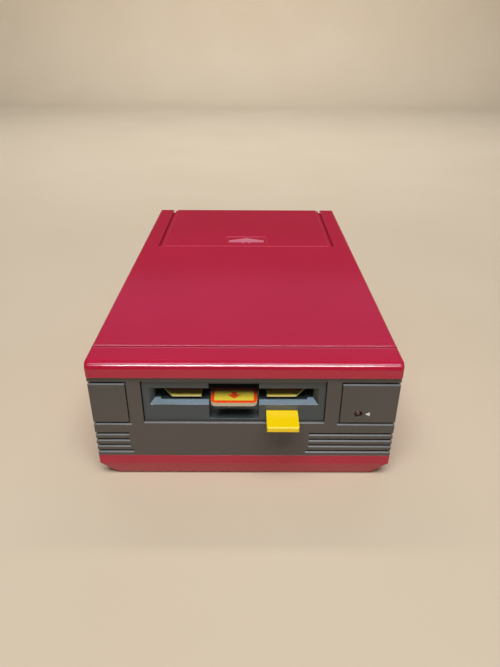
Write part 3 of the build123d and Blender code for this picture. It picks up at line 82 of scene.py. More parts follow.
# materials
def linear(hexColour):
    channels = [int(hexColour[i:i + 2], 16) / 255 for i in (1, 3, 5)]
    return tuple(c / 12.92 if c <= 0.04045 else ((c + 0.055) / 1.055) ** 2.4 for c in channels) + (1.0,)


def addNode(tree, kind, settings=None, links=None):
    node = tree.nodes.new("ShaderNode" + kind)
    for key, value in (settings or {}).items():
        if isinstance(value, str) and value.startswith("#"):
            value = linear(value)
        if isinstance(key, int) or key in node.inputs:
            node.inputs[key].default_value = value
        else:
            setattr(node, key, value)
    for key, source in (links or {}).items():
        tree.links.new(source, node.inputs[key])
    return node


def newMaterial(name):
    material = bpy.data.materials.new(name)
    material.use_nodes = True
    tree = material.node_tree
    return material, tree, tree.nodes["Principled BSDF"], addNode(tree, "TexCoord").outputs["Object"]


def perMm(size):
    return 1 / (size * mm)  # texture scale that repeats about every so many millimetres


noiseSpan = (0.3, 0.7)  # most of a noise's values lie between these
topFace = {"From Min": 0.45, "From Max": 0.55}  # a normal that points up this far is on a top face


# two tones that blend in clouds: returns the clouds and the blended tone
# a colour Mix has its factor at input 0, its two colours at 6 and 7 and its result at output 2
def cloudedTone(tree, place, look):
    noise = {"Scale": perMm(look["cloud"]), "Detail": look["detail"], "Distortion": look.get("curl", 0.0)}
    clouds = addNode(tree, "TexNoise", noise, {"Vector": place}).outputs["Fac"]
    low, high = look["blend"]
    share = addNode(tree, "MapRange", {"From Min": low, "From Max": high}, {"Value": clouds}).outputs[0]
    first, second = look["tones"]
    return clouds, addNode(tree, "Mix", {"data_type": "RGBA", 6: first, 7: second}, {0: share}).outputs[2]


# 1 where a point lies inside the band's ranges along X, Y and Z, and 0 outside them
def insideBand(tree, place, band):
    axes = addNode(tree, "SeparateXYZ", {}, {0: place})
    inside = None
    for axis in ("X", "Y", "Z"):
        low, high = (limit * mm for limit in band[axis])
        nearMiddle = {"operation": "COMPARE", 1: (low + high) / 2, 2: (high - low) / 2}
        hit = addNode(tree, "Math", nearMiddle, {0: axes.outputs[axis]}).outputs[0]
        if inside:
            hit = addNode(tree, "Math", {"operation": "MULTIPLY"}, {0: inside, 1: hit}).outputs[0]
        inside = hit
    return inside


# ABS from a spark-eroded mould: satin, with a fine grit, and paler along its edges, partly from wearing by
# hands and partly as a painted highlight
# the grit is drawn coarser than it is, so that it shows
moulding = {
    "cloud": 60, "detail": 3.0, "blend": noiseSpan,
    "grit": 0.5, "gritDetail": 2.0, "gritDepth": 0.02, "roughnessPerGrain": 0.25,
    "edgeSamples": 12, "wearAndHighlightStart": 0.995, "wearAndHighlightFull": 0.8,
    "streak": 1.6, "streakDetail": 4.0, "streakStretch": (1, 0.06, 1), "streakTurn": (0, 0, 0.7),
    "scuffStart": 0.66, "scuffFull": 0.8,
    "ior": 1.54, "glow": 0.0, "glowRadius": (1.0, 0.15, 0.15), "glowDepth": 1.5, "paintedShadeAndHighlightBands": [],
}


def mouldedAbs(name, ownLook):
    look = {**moulding, **ownLook}
    material, tree, shader, place = newMaterial(name)
    tone = cloudedTone(tree, place, look)[1]
    rounding = {"Radius": look["edge"] * mm, "samples": look["edgeSamples"]}
    rounded = addNode(tree, "Bevel", rounding).outputs[0]
    flat = addNode(tree, "NewGeometry").outputs["Normal"]
    along = addNode(tree, "VectorMath", {"operation": "DOT_PRODUCT"}, {0: rounded, 1: flat})
    # edges: paler where the rounded normal turns away from the face, partly wearing and partly a painted
    # highlight
    edgeWearAndHighlight = {"From Min": look["wearAndHighlightStart"], "From Max": look["wearAndHighlightFull"], "To Max": look["edgeWearAndHighlight"]}
    wornAndHighlightedEdges = addNode(tree, "MapRange", edgeWearAndHighlight, {"Value": along.outputs["Value"]}).outputs[0]
    # scuffs: long thin streaks, drawn wider than real ones so that they show
    lie = {"Scale": look["streakStretch"], "Rotation": look["streakTurn"]}
    stretched = addNode(tree, "Mapping", lie, {"Vector": place}).outputs[0]
    streak = {"Scale": perMm(look["streak"]), "Detail": look["streakDetail"]}
    streaks = addNode(tree, "TexNoise", streak, {"Vector": stretched}).outputs["Fac"]
    scuff = {"From Min": look["scuffStart"], "From Max": look["scuffFull"], "To Max": look["scuffs"]}
    scuffed = addNode(tree, "MapRange", scuff, {"Value": streaks}).outputs[0]
    # the pale tone goes on the edges and the scuffs, then the bands of painted shade and painted highlight
    # go over it
    layers = [(wornAndHighlightedEdges, look["paleWearAndHighlight"]), (scuffed, look["paleWearAndHighlight"])]
    layers += [(insideBand(tree, place, paintedBand), paintedBand["colour"]) for paintedBand in look["paintedShadeAndHighlightBands"]]
    for share, colour in layers:
        tone = addNode(tree, "Mix", {"data_type": "RGBA", 7: colour}, {0: share, 6: tone}).outputs[2]
    tree.links.new(tone, shader.inputs["Base Color"])
    grit = {"Scale": perMm(look["grit"]), "Detail": look["gritDetail"]}
    grain = addNode(tree, "TexNoise", grit, {"Vector": place}).outputs["Fac"]
    low, high = noiseSpan
    swing = look["roughnessPerGrain"] * look["grain"]
    smooth, dull = look["roughness"] - swing, look["roughness"] + swing
    satin = {"From Min": low, "From Max": high, "To Min": smooth, "To Max": dull}
    rough = addNode(tree, "MapRange", satin, {"Value": grain})
    tree.links.new(rough.outputs[0], shader.inputs["Roughness"])
    relief = {"Strength": look["grain"], "Distance": look["gritDepth"] * mm}
    bump = addNode(tree, "Bump", relief, {"Height": grain, "Normal": rounded})
    tree.links.new(bump.outputs[0], shader.inputs["Normal"])
    shader.inputs["IOR"].default_value = look["ior"]
    shader.inputs["Subsurface Weight"].default_value = look["glow"]
    shader.inputs["Subsurface Radius"].default_value = look["glowRadius"]
    shader.inputs["Subsurface Scale"].default_value = look["glowDepth"] * mm
    return material


# lines painted on the red case: painted shade, deep red, inside the crease and in the gap before the lid, a
# painted highlight, pale, beside each, and one more painted highlight along the back edge of the recess
# behind the lid's arrow
crease = {
    "setback": 16.2, "width": 1.7, "lip": 0.1, "highlightWidth": 0.5, "deep": 3.0, "over": 0.05,
    "shade": "#a00024", "paleWearAndHighlight": "#c4566c",
}
# before the lid: painted shade in its gap and a painted highlight along its front edge
lidSeam = {"half": 59.3, "gap": 0.8, "highlightWidth": 1.1, "edge": 0.6, "shade": "#a00a2e", "paleWearAndHighlight": "#c8405e"}
# a painted highlight along the back edge of the recess behind the lid's arrow
thumbSeam = {"setback": 73.2, "half": 14.6, "highlightWidth": 1.2}
caseTop = caseHigh.z
creaseBack = caseLow.y + crease["setback"]
creaseFront = creaseBack - crease["width"]
thumbBack = lidHigh.y - thumbSeam["setback"]
acrossCase = (caseLow.x, caseHigh.x)
acrossLid = (-lidSeam["half"], lidSeam["half"])
slitFloor, overTop = caseTop - crease["deep"], caseTop + crease["over"]
# the bands in turn: painted shade in the crease, painted highlight before its front edge, painted shade
# before the lid, painted highlight on the lid's front edge, painted highlight behind the arrow
redPaintedShadeAndHighlights = [
    {"colour": crease["shade"], "X": acrossCase, "Y": (creaseFront, creaseBack + crease["over"]),
     "Z": (slitFloor, caseTop - crease["lip"])},
    {"colour": crease["paleWearAndHighlight"], "X": acrossCase, "Y": (creaseFront - crease["highlightWidth"], creaseFront),
     "Z": (caseTop - crease["over"], overTop)},
    {"colour": lidSeam["shade"], "X": acrossLid, "Y": (lidLow.y - lidSeam["gap"], lidLow.y),
     "Z": (slitFloor, overTop)},
    {"colour": lidSeam["paleWearAndHighlight"], "X": acrossLid, "Y": (lidLow.y, lidLow.y + lidSeam["highlightWidth"]),
     "Z": (caseTop - lidSeam["edge"], overTop)},
    {"colour": lidSeam["paleWearAndHighlight"], "X": (-thumbSeam["half"], thumbSeam["half"]),
     "Y": (thumbBack - crease["over"], thumbBack + thumbSeam["highlightWidth"]),
     "Z": (caseTop - lidSeam["edge"], overTop)},
]
# each moulding's pale tone marks its scuffs and edges; along edges it is partly a painted highlight, and
# the red's pale tone is the colour of its painted highlight lines
absLooks = {
    "redAbsMoulded": {
        "tones": ("#b71d3e", "#b11a39"), "paleWearAndHighlight": crease["paleWearAndHighlight"], "grain": 0.06, "roughness": 0.13,
        "edge": 0.4, "edgeWearAndHighlight": 0.45, "scuffs": 0.08, "glow": 0.25, "paintedShadeAndHighlightBands": redPaintedShadeAndHighlights,
    },
    "charcoalAbsMoulded": {
        "tones": ("#524d49", "#4d4946"), "paleWearAndHighlight": "#7b766f", "grain": 0.3, "roughness": 0.42,
        "edge": 0.2, "edgeWearAndHighlight": 0.3, "scuffs": 0.08,
    },
    "greyAbsMoulded": {
        "tones": ("#40494e", "#3c454a"), "paleWearAndHighlight": "#84949b", "grain": 0.05, "roughness": 0.26,
        "edge": 0.2, "edgeWearAndHighlight": 0.4, "scuffs": 0.06,
    },
    "yellowAbsMoulded": {
        "tones": ("#ffdc02", "#fad400"), "paleWearAndHighlight": "#ffe65a", "grain": 0.12, "roughness": 0.3,
        "edge": 0.3, "edgeWearAndHighlight": 0.3, "scuffs": 0.08,
    },
    "blackAbsMoulded": {
        "tones": ("#1d1d1e", "#19191a"), "paleWearAndHighlight": "#3c3c3d", "grain": 0.3, "roughness": 0.5,
        "edge": 0.2, "edgeWearAndHighlight": 0.3, "scuffs": 0.05,
    },
}
finishes = {name: mouldedAbs(name, look) for name, look in absLooks.items()}
print("mouldings mixed")


# a plain finish: two tones in clouds, a bump from the same clouds, and values for the whole surface
def plainFinish(name, look):
    material, tree, shader, place = newMaterial(name)
    clouds, tone = cloudedTone(tree, place, look)
    tree.links.new(tone, shader.inputs["Base Color"])
    if "bump" in look:
        relief = {"Strength": look["bump"], "Distance": look["depth"] * mm}
        bump = addNode(tree, "Bump", relief, {"Height": clouds})
        tree.links.new(bump.outputs[0], shader.inputs["Normal"])
    for socket, value in look["surface"].items():
        shader.inputs[socket].default_value = value
    return material


inkLayer = {"cloud": 0.5, "detail": 3.0, "blend": (0.35, 0.65), "surface": {"Roughness": 0.5}}
plainLooks = {
    # screen ink: matt, slightly broken over the grain below it
    "whiteInkPrinted": {"tones": ("#e2e3e2", "#eeeeec"), **inkLayer},
    "orangeInkPrinted": {"tones": ("#ea3f0c", "#ee5018"), **inkLayer},
    # black: painted shade behind the card's tab, and the dark studio cards
    "blackPaintedShade": {"tones": ("#121110", "#1a1817"), **inkLayer},
    # etched ABS: as matt and broken as ink, and paler than the moulding round it
    "paleRedAbsEtched": {"tones": ("#c8667c", "#d07488"), **inkLayer},
    # tinted epoxy lens: dark and a little hazed while the lamp is off
    "redEpoxyCast": {
        "tones": ("#6b3434", "#854f4d"), "cloud": 1.2, "detail": 2.0, "blend": (0.35, 0.65),
        "surface": {"Roughness": 0.4, "IOR": 1.55},
    },
    # stoved enamel on sheet steel: even black with a faint orange peel
    "steelStovePainted": {
        "tones": ("#161617", "#1c1c1d"), "cloud": 1.2, "detail": 2.0, "blend": noiseSpan,
        "bump": 0.2, "depth": 0.03, "surface": {"Roughness": 0.4},
    },
    # nylon, moulded: waxy and a little see-through
    "nylonMoulded": {
        "tones": ("#e4e1d4", "#d8d3c2"), "cloud": 9, "detail": 4.0, "blend": noiseSpan,
        "surface": {"Roughness": 0.42, "Subsurface Weight": 0.15, "Subsurface Scale": 1.0 * mm},
    },
    # rubber, moulded: dull black with a faint bloom
    "rubberMoulded": {
        "tones": ("#1b1b1b", "#2d2d2c"), "cloud": 4, "detail": 5.0, "blend": (0.4, 0.75),
        "bump": 0.3, "depth": 0.03, "surface": {"Roughness": 0.75},
    },
    # wool felt, pressed: matted fibres with a soft sheen, drawn coarser than real ones so that they show
    "woolFeltPressed": {
        "tones": ("#9b8f76", "#b9ad94"), "cloud": 0.4, "detail": 8.0, "curl": 1.2, "blend": noiseSpan,
        "bump": 0.6, "depth": 0.1, "surface": {"Roughness": 0.95, "Sheen Weight": 0.4},
    },
}
for name, look in plainLooks.items():
    finishes[name] = plainFinish(name, look)


# paperboard with fibres in the print: beige where the thick tab is cut, and pale yellow, lighter than the
# print, on the thin edge as a painted highlight
boardLook = {
    "print": ("#d8c62e", "#e2d24c"), "core": ("#d6cbb0", "#b4a98f"), "edge": "#f6ee9a",
    "thinBoard": 0.9, "edgeBlend": 0.1, "cloud": 0.6, "detail": 6.0, "blend": (0.35, 0.7),
    "bump": 0.3, "depth": 0.03, "roughness": 0.55,
}


def printedBoard(name, look):
    material, tree, shader, place = newMaterial(name)
    fibres, inked = cloudedTone(tree, place, {**look, "tones": look["print"]})
    core = cloudedTone(tree, place, {**look, "tones": look["core"]})[1]
    coreTop = cardHigh.z - look["thinBoard"]
    height = addNode(tree, "SeparateXYZ", {}, {0: place}).outputs["Z"]
    thinStart = {"From Min": coreTop * mm, "From Max": (coreTop + look["edgeBlend"]) * mm}
    thin = addNode(tree, "MapRange", thinStart, {"Value": height}).outputs[0]
    # the edges of the thin board take the pale edge colour, a painted highlight
    cut = addNode(tree, "Mix", {"data_type": "RGBA", 7: look["edge"]}, {0: thin, 6: core}).outputs[2]
    normal = addNode(tree, "NewGeometry").outputs["Normal"]
    upright = addNode(tree, "SeparateXYZ", {}, {0: normal}).outputs["Z"]
    upward = addNode(tree, "MapRange", topFace, {"Value": upright}).outputs[0]
    tone = addNode(tree, "Mix", {"data_type": "RGBA"}, {0: upward, 6: cut, 7: inked}).outputs[2]
    tree.links.new(tone, shader.inputs["Base Color"])
    relief = {"Strength": look["bump"], "Distance": look["depth"] * mm}
    bump = addNode(tree, "Bump", relief, {"Height": fibres})
    tree.links.new(bump.outputs[0], shader.inputs["Normal"])
    shader.inputs["Roughness"].default_value = look["roughness"]
    return material


finishes["paperboardPrinted"] = printedBoard("paperboardPrinted", boardLook)


# metals: fine tool or draw lines along one direction, colour from the metal
# the lines are drawn wider than real ones so that they show
metalWork = {
    "cloud": 14, "detail": 3.0, "blend": noiseSpan,
    "lineDetail": 4.0, "swing": 0.08, "bump": 0.25, "depth": 0.02,
}
metalLooks = {
    "steelGround": {
        "tones": ("#b9bbbd", "#a6a8aa"), "line": 0.4, "stretch": (1, 1, 0.1), "roughness": 0.28,
    },
    "steelZincPlated": {
        "tones": ("#c3c2b6", "#b2b0a0"), "line": 0.8, "stretch": (1, 0.1, 1), "roughness": 0.36,
    },
    "brassTurned": {
        "tones": ("#d8b25a", "#bf9a4a"), "line": 0.4, "stretch": (1, 1, 0.1), "roughness": 0.3,
    },
    "alloyDieCast": {
        "tones": ("#a4a7aa", "#94979a"), "line": 1.2, "stretch": (1, 1, 1), "roughness": 0.5,
    },
}


def workedMetal(name, ownLook):
    look = {**metalWork, **ownLook}
    material, tree, shader, place = newMaterial(name)
    tree.links.new(cloudedTone(tree, place, look)[1], shader.inputs["Base Color"])
    stretched = addNode(tree, "Mapping", {"Scale": look["stretch"]}, {"Vector": place}).outputs[0]
    toolLine = {"Scale": perMm(look["line"]), "Detail": look["lineDetail"]}
    lines = addNode(tree, "TexNoise", toolLine, {"Vector": stretched}).outputs["Fac"]
    low, high = noiseSpan
    smooth, dull = look["roughness"] - look["swing"], look["roughness"] + look["swing"]
    span = {"From Min": low, "From Max": high, "To Min": smooth, "To Max": dull}
    rough = addNode(tree, "MapRange", span, {"Value": lines})
    tree.links.new(rough.outputs[0], shader.inputs["Roughness"])
    relief = {"Strength": look["bump"], "Distance": look["depth"] * mm}
    bump = addNode(tree, "Bump", relief, {"Height": lines})
    tree.links.new(bump.outputs[0], shader.inputs["Normal"])
    shader.inputs["Metallic"].default_value = 1.0
    return material


for name, look in metalLooks.items():
    finishes[name] = workedMetal(name, look)


# phenolic board under solder mask: green, with paler runs of copper below it and a tan edge
maskLook = {
    "mask": "#1d4f2c", "overCopper": "#37743f", "edge": "#a88a55", "pitch": 2.54,
    "runs": {"Mortar Size": 0.09, "Brick Width": 3.0, "Row Height": 0.8,
             "Color1": (0, 0, 0, 1), "Color2": (0.25, 0.25, 0.25, 1), "Mortar": (1, 1, 1, 1)},
    "bump": 0.3, "depth": 0.03, "roughness": 0.35,
}


def maskedBoard(name, look):
    material, tree, shader, place = newMaterial(name)
    copper = addNode(tree, "TexBrick", {"Scale": perMm(look["pitch"]), **look["runs"]}, {"Vector": place})
    raised = addNode(tree, "MapRange", {}, {"Value": copper.outputs["Color"]}).outputs[0]
    tones = {"data_type": "RGBA", 6: look["mask"], 7: look["overCopper"]}
    masked = addNode(tree, "Mix", tones, {0: raised}).outputs[2]
    normal = addNode(tree, "NewGeometry").outputs["Normal"]
    upright = addNode(tree, "SeparateXYZ", {}, {0: normal}).outputs["Z"]
    upOrDown = addNode(tree, "Math", {"operation": "ABSOLUTE"}, {0: upright}).outputs[0]
    onFace = addNode(tree, "MapRange", topFace, {"Value": upOrDown}).outputs[0]
    tone = addNode(tree, "Mix", {"data_type": "RGBA", 6: look["edge"]}, {0: onFace, 7: masked}).outputs[2]
    tree.links.new(tone, shader.inputs["Base Color"])
    relief = {"Strength": look["bump"], "Distance": look["depth"] * mm}
    bump = addNode(tree, "Bump", relief, {"Height": raised})
    tree.links.new(bump.outputs[0], shader.inputs["Normal"])
    shader.inputs["Roughness"].default_value = look["roughness"]
    return material


finishes["phenolicBoardMasked"] = maskedBoard("phenolicBoardMasked", maskLook)


# flat cable: grey vinyl over a row of round wires, ridged across its width
cableLook = {
    "valley": "#767775", "ridge": "#9c9d9b", "pitch": 1.27, "bump": 0.8, "depth": 0.2, "roughness": 0.5,
}
waveTurn = 20  # the wave texture turns by so many radians over its unit


def ridgedCable(name, look):
    material, tree, shader, place = newMaterial(name)
    wires = {"bands_direction": "X", "Scale": perMm(look["pitch"]) / waveTurn * math.tau, "Distortion": 0.0}
    ridges = addNode(tree, "TexWave", wires, {"Vector": place}).outputs["Fac"]
    tones = {"data_type": "RGBA", 6: look["valley"], 7: look["ridge"]}
    tree.links.new(addNode(tree, "Mix", tones, {0: ridges}).outputs[2], shader.inputs["Base Color"])
    relief = {"Strength": look["bump"], "Distance": look["depth"] * mm}
    bump = addNode(tree, "Bump", relief, {"Height": ridges})
    tree.links.new(bump.outputs[0], shader.inputs["Normal"])
    shader.inputs["Roughness"].default_value = look["roughness"]
    return material


finishes["vinylFlatCable"] = ridgedCable("vinylFlatCable", cableLook)
print("finishes ready:", len(finishes))


# each node of the frame and its finish
nodeFinish = {
    "redAbsMoulded": ["top_shell", "bottom_shell", "battery_lid"],
    "charcoalAbsMoulded": ["front_panel"],
    "greyAbsMoulded": ["drive_bezel"],
    "yellowAbsMoulded": ["eject_key"],
    "paperboardPrinted": ["shipping_card"],
    "redEpoxyCast": ["lamp"],
    "phenolicBoardMasked": ["lamp_board", "drive_board", "power_board"],
    "blackAbsMoulded": [
        "drive_board_parts", "power_board_parts", "adapter_socket", "power_jack", "battery_tray",
        "motor_pulley", "head_carriage",
    ],
    "nylonMoulded": ["reduction_gear", "cam_gear", "spiral_cam", "spindle_pinion"],
    "steelGround": [
        "holder_pins", "spindle_shaft", "motor_shaft", "gear_posts", "retaining_clips", "guide_rods",
        "read_head", "follower_pin", "pad_pin", "board_screws", "case_screws", "chassis_screws",
        "motor", "motor_rotor",
    ],
    "steelZincPlated": ["eject_slider", "battery_contacts", "pad_arm"],
    "steelStovePainted": ["disk_holder"],
    "brassTurned": ["flywheel", "spindle_bearing", "socket_pins", "jack_pin"],
    "alloyDieCast": ["chassis", "spindle_hub"],
    "rubberMoulded": ["rubber_bushes", "rubber_feet", "drive_belt"],
    "woolFeltPressed": ["clutch_felt", "felt_pad"],
    "vinylFlatCable": ["ribbon_cable"],
}
smoothAngle = math.radians(25)
for finish, names in nodeFinish.items():
    for name in names:
        mesh = nodes[name].data
        mesh.materials.clear()
        mesh.materials.append(finishes[finish])
        mesh.shade_smooth()
        mesh.set_sharp_from_angle(angle=smoothAngle)
print("nodes dressed:", sum(len(names) for names in nodeFinish.values()))


# an outline with a round at each corner
def roundedOutline(points, radii, steps=6):
    outline = []
    for here, (point, radius) in enumerate(zip(points, radii)):
        corner = Vector(point)
        toLast = (Vector(points[here - 1]) - corner).normalized()
        toNext = (Vector(points[(here + 1) % len(points)]) - corner).normalized()
        half = toLast.angle(toNext) / 2
        middle = corner + (toLast + toNext).normalized() * (radius / math.sin(half))
        first = corner + toLast * (radius / math.tan(half))
        last = corner + toNext * (radius / math.tan(half))
        for step in range(steps + 1):
            spoke = (first - middle).lerp(last - middle, step / steps).normalized()
            outline.append(middle + spoke * radius)
    return outline


# an arrow or the like from its tip and the points of its right side, in order from the tip
def bothSides(tip, rightSide):
    leftSide = [(-x, y) for x, y in reversed(rightSide)]
    return [Vector(point) for point in [(0, tip)] + rightSide + leftSide]


# a thin printed or etched shape, or a band of painted shade, raised a little off the face that carries it
def printedShape(name, outlines, look):
    mesh = bpy.data.meshes.new(name)
    work = bmesh.new()
    rings = [[work.verts.new((p.x * mm, p.y * mm, 0)) for p in outline] for outline in outlines]
    if len(rings) == 1:
        work.faces.new(rings[0])
    else:  # a frame between two outlines with the same number of points
        outer, inner = rings
        for i in range(len(outer)):
            j = (i + 1) % len(outer)
            work.faces.new((outer[i], outer[j], inner[j], inner[i]))
    bmesh.ops.recalc_face_normals(work, faces=work.faces)
    if work.faces[:][0].normal.z < 0:
        bmesh.ops.reverse_faces(work, faces=work.faces)
    raised = bmesh.ops.extrude_face_region(work, geom=work.faces[:])["geom"]
    lifted = [item for item in raised if isinstance(item, bmesh.types.BMVert)]
    bmesh.ops.translate(work, vec=(0, 0, look["relief"] * mm), verts=lifted)
    bmesh.ops.recalc_face_normals(work, faces=work.faces)
    work.transform(look["seat"])
    work.to_mesh(mesh)
    work.free()
    mesh.materials.append(finishes[look["finish"]])
    piece = bpy.data.objects.new(name, mesh)
    bpy.context.scene.collection.objects.link(piece)
    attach(piece, look["body"])


# turns a flat shape onto a face: its X runs to the right, its Z points out of the face
def seatOn(place, outward):
    across, outward = Vector((1, 0, 0)), Vector(outward).normalized()
    turn = Matrix((across, outward.cross(across), outward)).transposed().to_4x4()
    return Matrix.Translation(Vector(place) * mm) @ turn


# plain triangle beside the lamp
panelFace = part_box("front_panel")[0].y / mm
lampMiddle = (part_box("lamp")[0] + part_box("lamp")[1]) / 2 / mm
pointer = {
    "gap": 3.3, "length": 2.3, "height": 2.2, "corner": 0.12, "relief": 0.03,
    "finish": "whiteInkPrinted", "body": "case", "slot": "dark_panel",
    "seat": seatOn((lampMiddle.x, panelFace, lampMiddle.z), (0, -1, 0)),
}
pointerEnd = pointer["gap"] + pointer["length"]
triangle = [(pointer["gap"], 0), (pointerEnd, -pointer["height"] / 2), (pointerEnd, pointer["height"] / 2)]
printedShape("lampPointer", [roundedOutline(triangle, [pointer["corner"]] * 3)], pointer)


# border and arrow printed on the card's tab, which slopes down to the front, and black bands of painted
# shade behind them
cardMiddle = (cardLow.x + cardHigh.x) / 2
tabPrint = {
    "width": 22.6, "slope": 12.0, "drop": 0.8, "corner": 2.4, "innerCorner": 0.15, "margin": 0.05,
    "relief": 0.04, "borderSide": 1.7, "borderFront": 1.9, "borderBack": 2.2, "shadeStrip": 0.5,
    "shadeLength": 8.0, "arrowWidth": 7.0, "arrowLength": 3.0, "arrowGap": 1.4,
    "stemWidth": 2.8, "stemLength": 2.2, "finish": "orangeInkPrinted", "body": "card", "slot": "card",
}
tabPrint["seat"] = seatOn(
    (cardMiddle, cardLow.y, cardHigh.z - tabPrint["drop"]), (0, -tabPrint["drop"], tabPrint["slope"])
)
tabLength = math.hypot(tabPrint["slope"], tabPrint["drop"])
margin, innerCorner = tabPrint["margin"], tabPrint["innerCorner"]


def tabOutline(side, near, far, frontCorner):
    half, back = tabPrint["width"] / 2 - side, tabLength - far
    points = [(-half, near), (half, near), (half, back), (-half, back)]
    return roundedOutline(points, [frontCorner, frontCorner, innerCorner, innerCorner])


borderOut = tabOutline(margin, margin, tabPrint["shadeStrip"], tabPrint["corner"])
borderIn = tabOutline(tabPrint["borderSide"], tabPrint["borderFront"], tabPrint["borderBack"], innerCorner)
printedShape("tabBorder", [borderOut, borderIn], tabPrint)
pullTip = tabPrint["borderFront"] + tabPrint["arrowGap"]
pullNeck = pullTip + tabPrint["arrowLength"]
pullStem = tabPrint["stemWidth"] / 2
pullEnd = pullNeck + tabPrint["stemLength"]
pullSide = [(tabPrint["arrowWidth"] / 2, pullNeck), (pullStem, pullNeck), (pullStem, pullEnd)]
printedShape("tabArrow", [bothSides(pullTip, pullSide)], tabPrint)
# painted shade: black bands on the last strip of the tab and on the card behind it, inside the dark slot
paintedShadeLook = {**tabPrint, "finish": "blackPaintedShade"}
tabBand = tabOutline(margin, tabLength - tabPrint["shadeStrip"], margin, innerCorner)
printedShape("tabPaintedShade", [tabBand], paintedShadeLook)
bandHalf, bandEnd = tabPrint["width"] / 2 - margin, tabPrint["shadeLength"]
bandCorners = [(-bandHalf, 0), (bandHalf, 0), (bandHalf, bandEnd), (-bandHalf, bandEnd)]
cardBand = [Vector(corner) for corner in bandCorners]
behindTab = seatOn((cardMiddle, cardLow.y + tabPrint["slope"], cardHigh.z), (0, 0, 1))
printedShape("cardPaintedShade", [cardBand], {**paintedShadeLook, "seat": behindTab})


# orange band across each wing of the card, just inside the slot
wing = {
    "front": 5.5, "start": 4.2, "length": 8.0, "inner": 16.1, "cornerWidth": 7.6, "cornerLength": 10.0,
    "margin": 0.1, "relief": 0.04, "finish": "orangeInkPrinted", "body": "card", "slot": "card",
    "seat": seatOn((cardMiddle, cardLow.y, cardHigh.z), (0, 0, 1)),
}
wingIn = wing["inner"] + wing["margin"]
wingOut = (cardHigh.x - cardLow.x) / 2 - wing["margin"]
wingCut = wing["cornerWidth"] * (1 - wing["start"] / wing["cornerLength"])
wingEnd = wing["start"] + wing["length"]
wingShape = [
    (wingIn, wing["start"]), (wingOut - wingCut, wing["start"]), (wingOut, wing["cornerLength"]),
    (wingOut, wingEnd), (wingIn, wingEnd),
]
for name, side in (("cardBandLeft", -1), ("cardBandRight", 1)):
    printedShape(name, [[Vector((side * x, wing["front"] + y)) for x, y in wingShape]], wing)
print("prints laid on the panel and the card")


# etched face on the lid's raised arrow, paler than the moulding round it
thumb = {
    "length": 18.0, "depth": 0.5, "width": 25.8, "arrowLength": 10.2, "arrowGap": 2.25, "blunt": 4.2,
    "footIn": 1.6, "footOut": 3.0, "footLength": 1.6, "moulded": 0.09, "relief": 0.01,
    "finish": "paleRedAbsEtched", "body": "lid", "slot": "red_case",
}
rampUp = Vector((0, thumb["depth"], thumb["length"])).normalized()
rampFront = Vector((0, thumbBack - thumb["length"], caseTop))
thumb["seat"] = seatOn(rampFront + rampUp * thumb["moulded"], rampUp)
arrowTip = math.hypot(thumb["length"], thumb["depth"]) - thumb["arrowGap"]
arrowBase = arrowTip - thumb["arrowLength"]
arrowHalf, footEnd = thumb["width"] / 2, arrowBase - thumb["footLength"]
arrowSide = [
    (arrowHalf, arrowBase + thumb["blunt"]), (arrowHalf, arrowBase), (thumb["footOut"], arrowBase),
    (thumb["footOut"], footEnd), (thumb["footIn"], footEnd), (thumb["footIn"], arrowBase),
]
printedShape("lidArrowFace", [bothSides(arrowTip, arrowSide)], thumb)
print("arrow faced on the lid")


# floor: a sweep of pale paper, its sizes in metres
sweep = {
    "halfWidth": 4.0, "front": -3.0, "bend": 1.6, "bendRadius": 0.3, "wallTop": 0.36, "bendSteps": 16,
    "tones": ("#cebea7", "#d1c2ac"), "cloud": 180, "detail": 3.0, "blend": noiseSpan,
    "surface": {"Roughness": 0.8},
}


def layFloor(look):
    radius = look["bendRadius"]
    line = [(look["front"], 0)]
    for step in range(look["bendSteps"] + 1):
        turn = math.pi / 2 * step / look["bendSteps"]
        line.append((look["bend"] + radius * math.sin(turn), radius * (1 - math.cos(turn))))
    line.append((look["bend"] + radius, look["wallTop"]))
    points = [(x, y, z) for y, z in line for x in (-look["halfWidth"], look["halfWidth"])]
    strips = [(2 * i, 2 * i + 1, 2 * i + 3, 2 * i + 2) for i in range(len(line) - 1)]
    mesh = bpy.data.meshes.new("floorPaper")
    mesh.from_pydata(points, [], strips)
    mesh.shade_smooth()
    mesh.materials.append(plainFinish("floorPaper", look))
    floor = bpy.data.objects.new("floorPaper", mesh)
    bpy.context.scene.collection.objects.link(floor)
    return floor


# lamps: two soft boxes that light, and bright cards that show only in the gloss, with sizes in metres
lamps = {
    "mainBox": {"lights": True, "place": (0, -595, 1120), "aim": (0, -100, 50), "size": (0.9, 0.5),
                "power": 15.5, "colour": "#fffdfb"},
    "blueCard": {"lights": False, "place": (0, -783, 1080), "aim": (0, -100, 50), "size": (0.9, 0.3),
                 "power": 6.5, "colour": "#b5e0ff"},
    "whiteStrip": {"lights": False, "place": (0, -1334, 865), "aim": (0, -100, 50), "size": (0.9, 0.07),
                   "power": 25.0, "colour": "#fffaf6"},
    "backCard": {"lights": False, "place": (0, 1500, 900), "aim": (0, -60, 70), "size": (1.6, 0.35),
                 "power": 0.36, "colour": "#86bfff"},
    "ceilingCard": {"lights": False, "place": (0, 717, 1313), "aim": (0, -122, 70), "size": (1.6, 1.03),
                    "power": 1.06, "colour": "#86bfff"},
    "sweepBox": {"lights": True, "place": (0, 700, 1300), "aim": (0, 1900, 200), "size": (1.6, 0.6),
                 "power": 24.0, "colour": "#ffffff"},
}


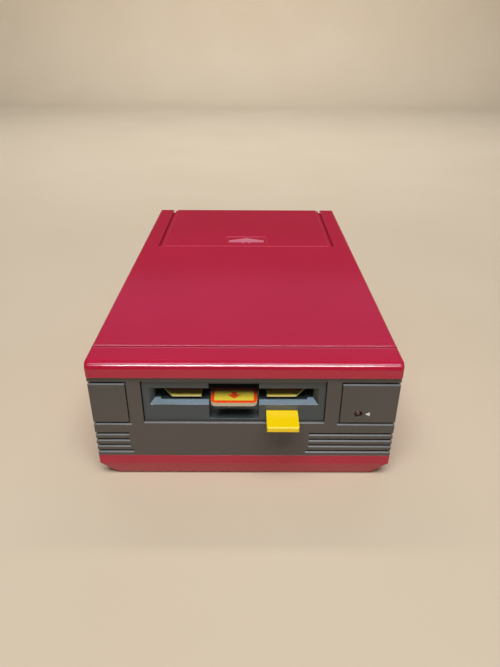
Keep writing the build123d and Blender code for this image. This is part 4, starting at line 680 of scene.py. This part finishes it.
def hangLamp(name, look):
    light = bpy.data.lights.new(name, "AREA")
    light.shape = "RECTANGLE"
    light.size, light.size_y = look["size"]
    light.energy = look["power"]
    light.color = linear(look["colour"])[:3]
    holder = bpy.data.objects.new(name, light)
    holder.visible_diffuse, holder.visible_glossy = look["lights"], not look["lights"]
    holder.visible_camera = False
    bpy.context.scene.collection.objects.link(holder)
    place, aim = Vector(look["place"]) * mm, Vector(look["aim"]) * mm
    turn = (aim - place).to_track_quat("-Z", "Y").to_matrix().to_4x4()
    holder.matrix_world = Matrix.Translation(place) @ turn
    return holder


# upright cards before the case: the flag keeps the white strip off the flat top behind the rolled edge,
# and the dark card shows only in the gloss, low on that edge
cards = {
    "stripFlag": {"ahead": 6.0, "low": 75.0, "high": 270.0, "halfWidth": 220.0, "shades": True},
    "darkCard": {"ahead": 173.0, "low": 1.0, "high": 150.0, "halfWidth": 450.0, "shades": False},
}
flaggedLamp = "whiteStrip"


def standCard(name, look):
    y = (caseLow.y - look["ahead"]) * mm
    low, high, half = (look[key] * mm for key in ("low", "high", "halfWidth"))
    corners = [(-half, y, low), (half, y, low), (half, y, high), (-half, y, high)]
    mesh = bpy.data.meshes.new(name)
    mesh.from_pydata(corners, [], [(0, 1, 2, 3)])
    mesh.materials.append(finishes["blackPaintedShade"])
    card = bpy.data.objects.new(name, mesh)
    bpy.context.scene.collection.objects.link(card)
    card.visible_camera = card.visible_diffuse = False
    card.visible_shadow, card.visible_glossy = look["shades"], not look["shades"]
    return card


# the room round the sweep: even and dim
room = {"colour": "#777573", "strength": 0.35}


def fillWorld(look):
    world = bpy.data.worlds.new("plainRoom")
    world.use_nodes = True
    bpy.context.scene.world = world
    sky = world.node_tree.nodes["Background"]
    sky.inputs["Color"].default_value = linear(look["colour"])
    sky.inputs["Strength"].default_value = look["strength"]


floor = layFloor(sweep)
holders = {name: hangLamp(name, look) for name, look in lamps.items()}
stood = {name: standCard(name, look) for name, look in cards.items()}
for name, holder in holders.items():  # the flag shades its one lamp, and the floor shades the others
    passed = bpy.data.collections.new(name + "Passes")
    passed.objects.link(floor if name == flaggedLamp else stood["stripFlag"])
    passed.collection_objects[0].light_linking.link_state = "EXCLUDE"
    holder.light_linking.blocker_collection = passed
fillWorld(room)
bpy.context.scene.view_settings.view_transform = "Standard"
print("studio lit")
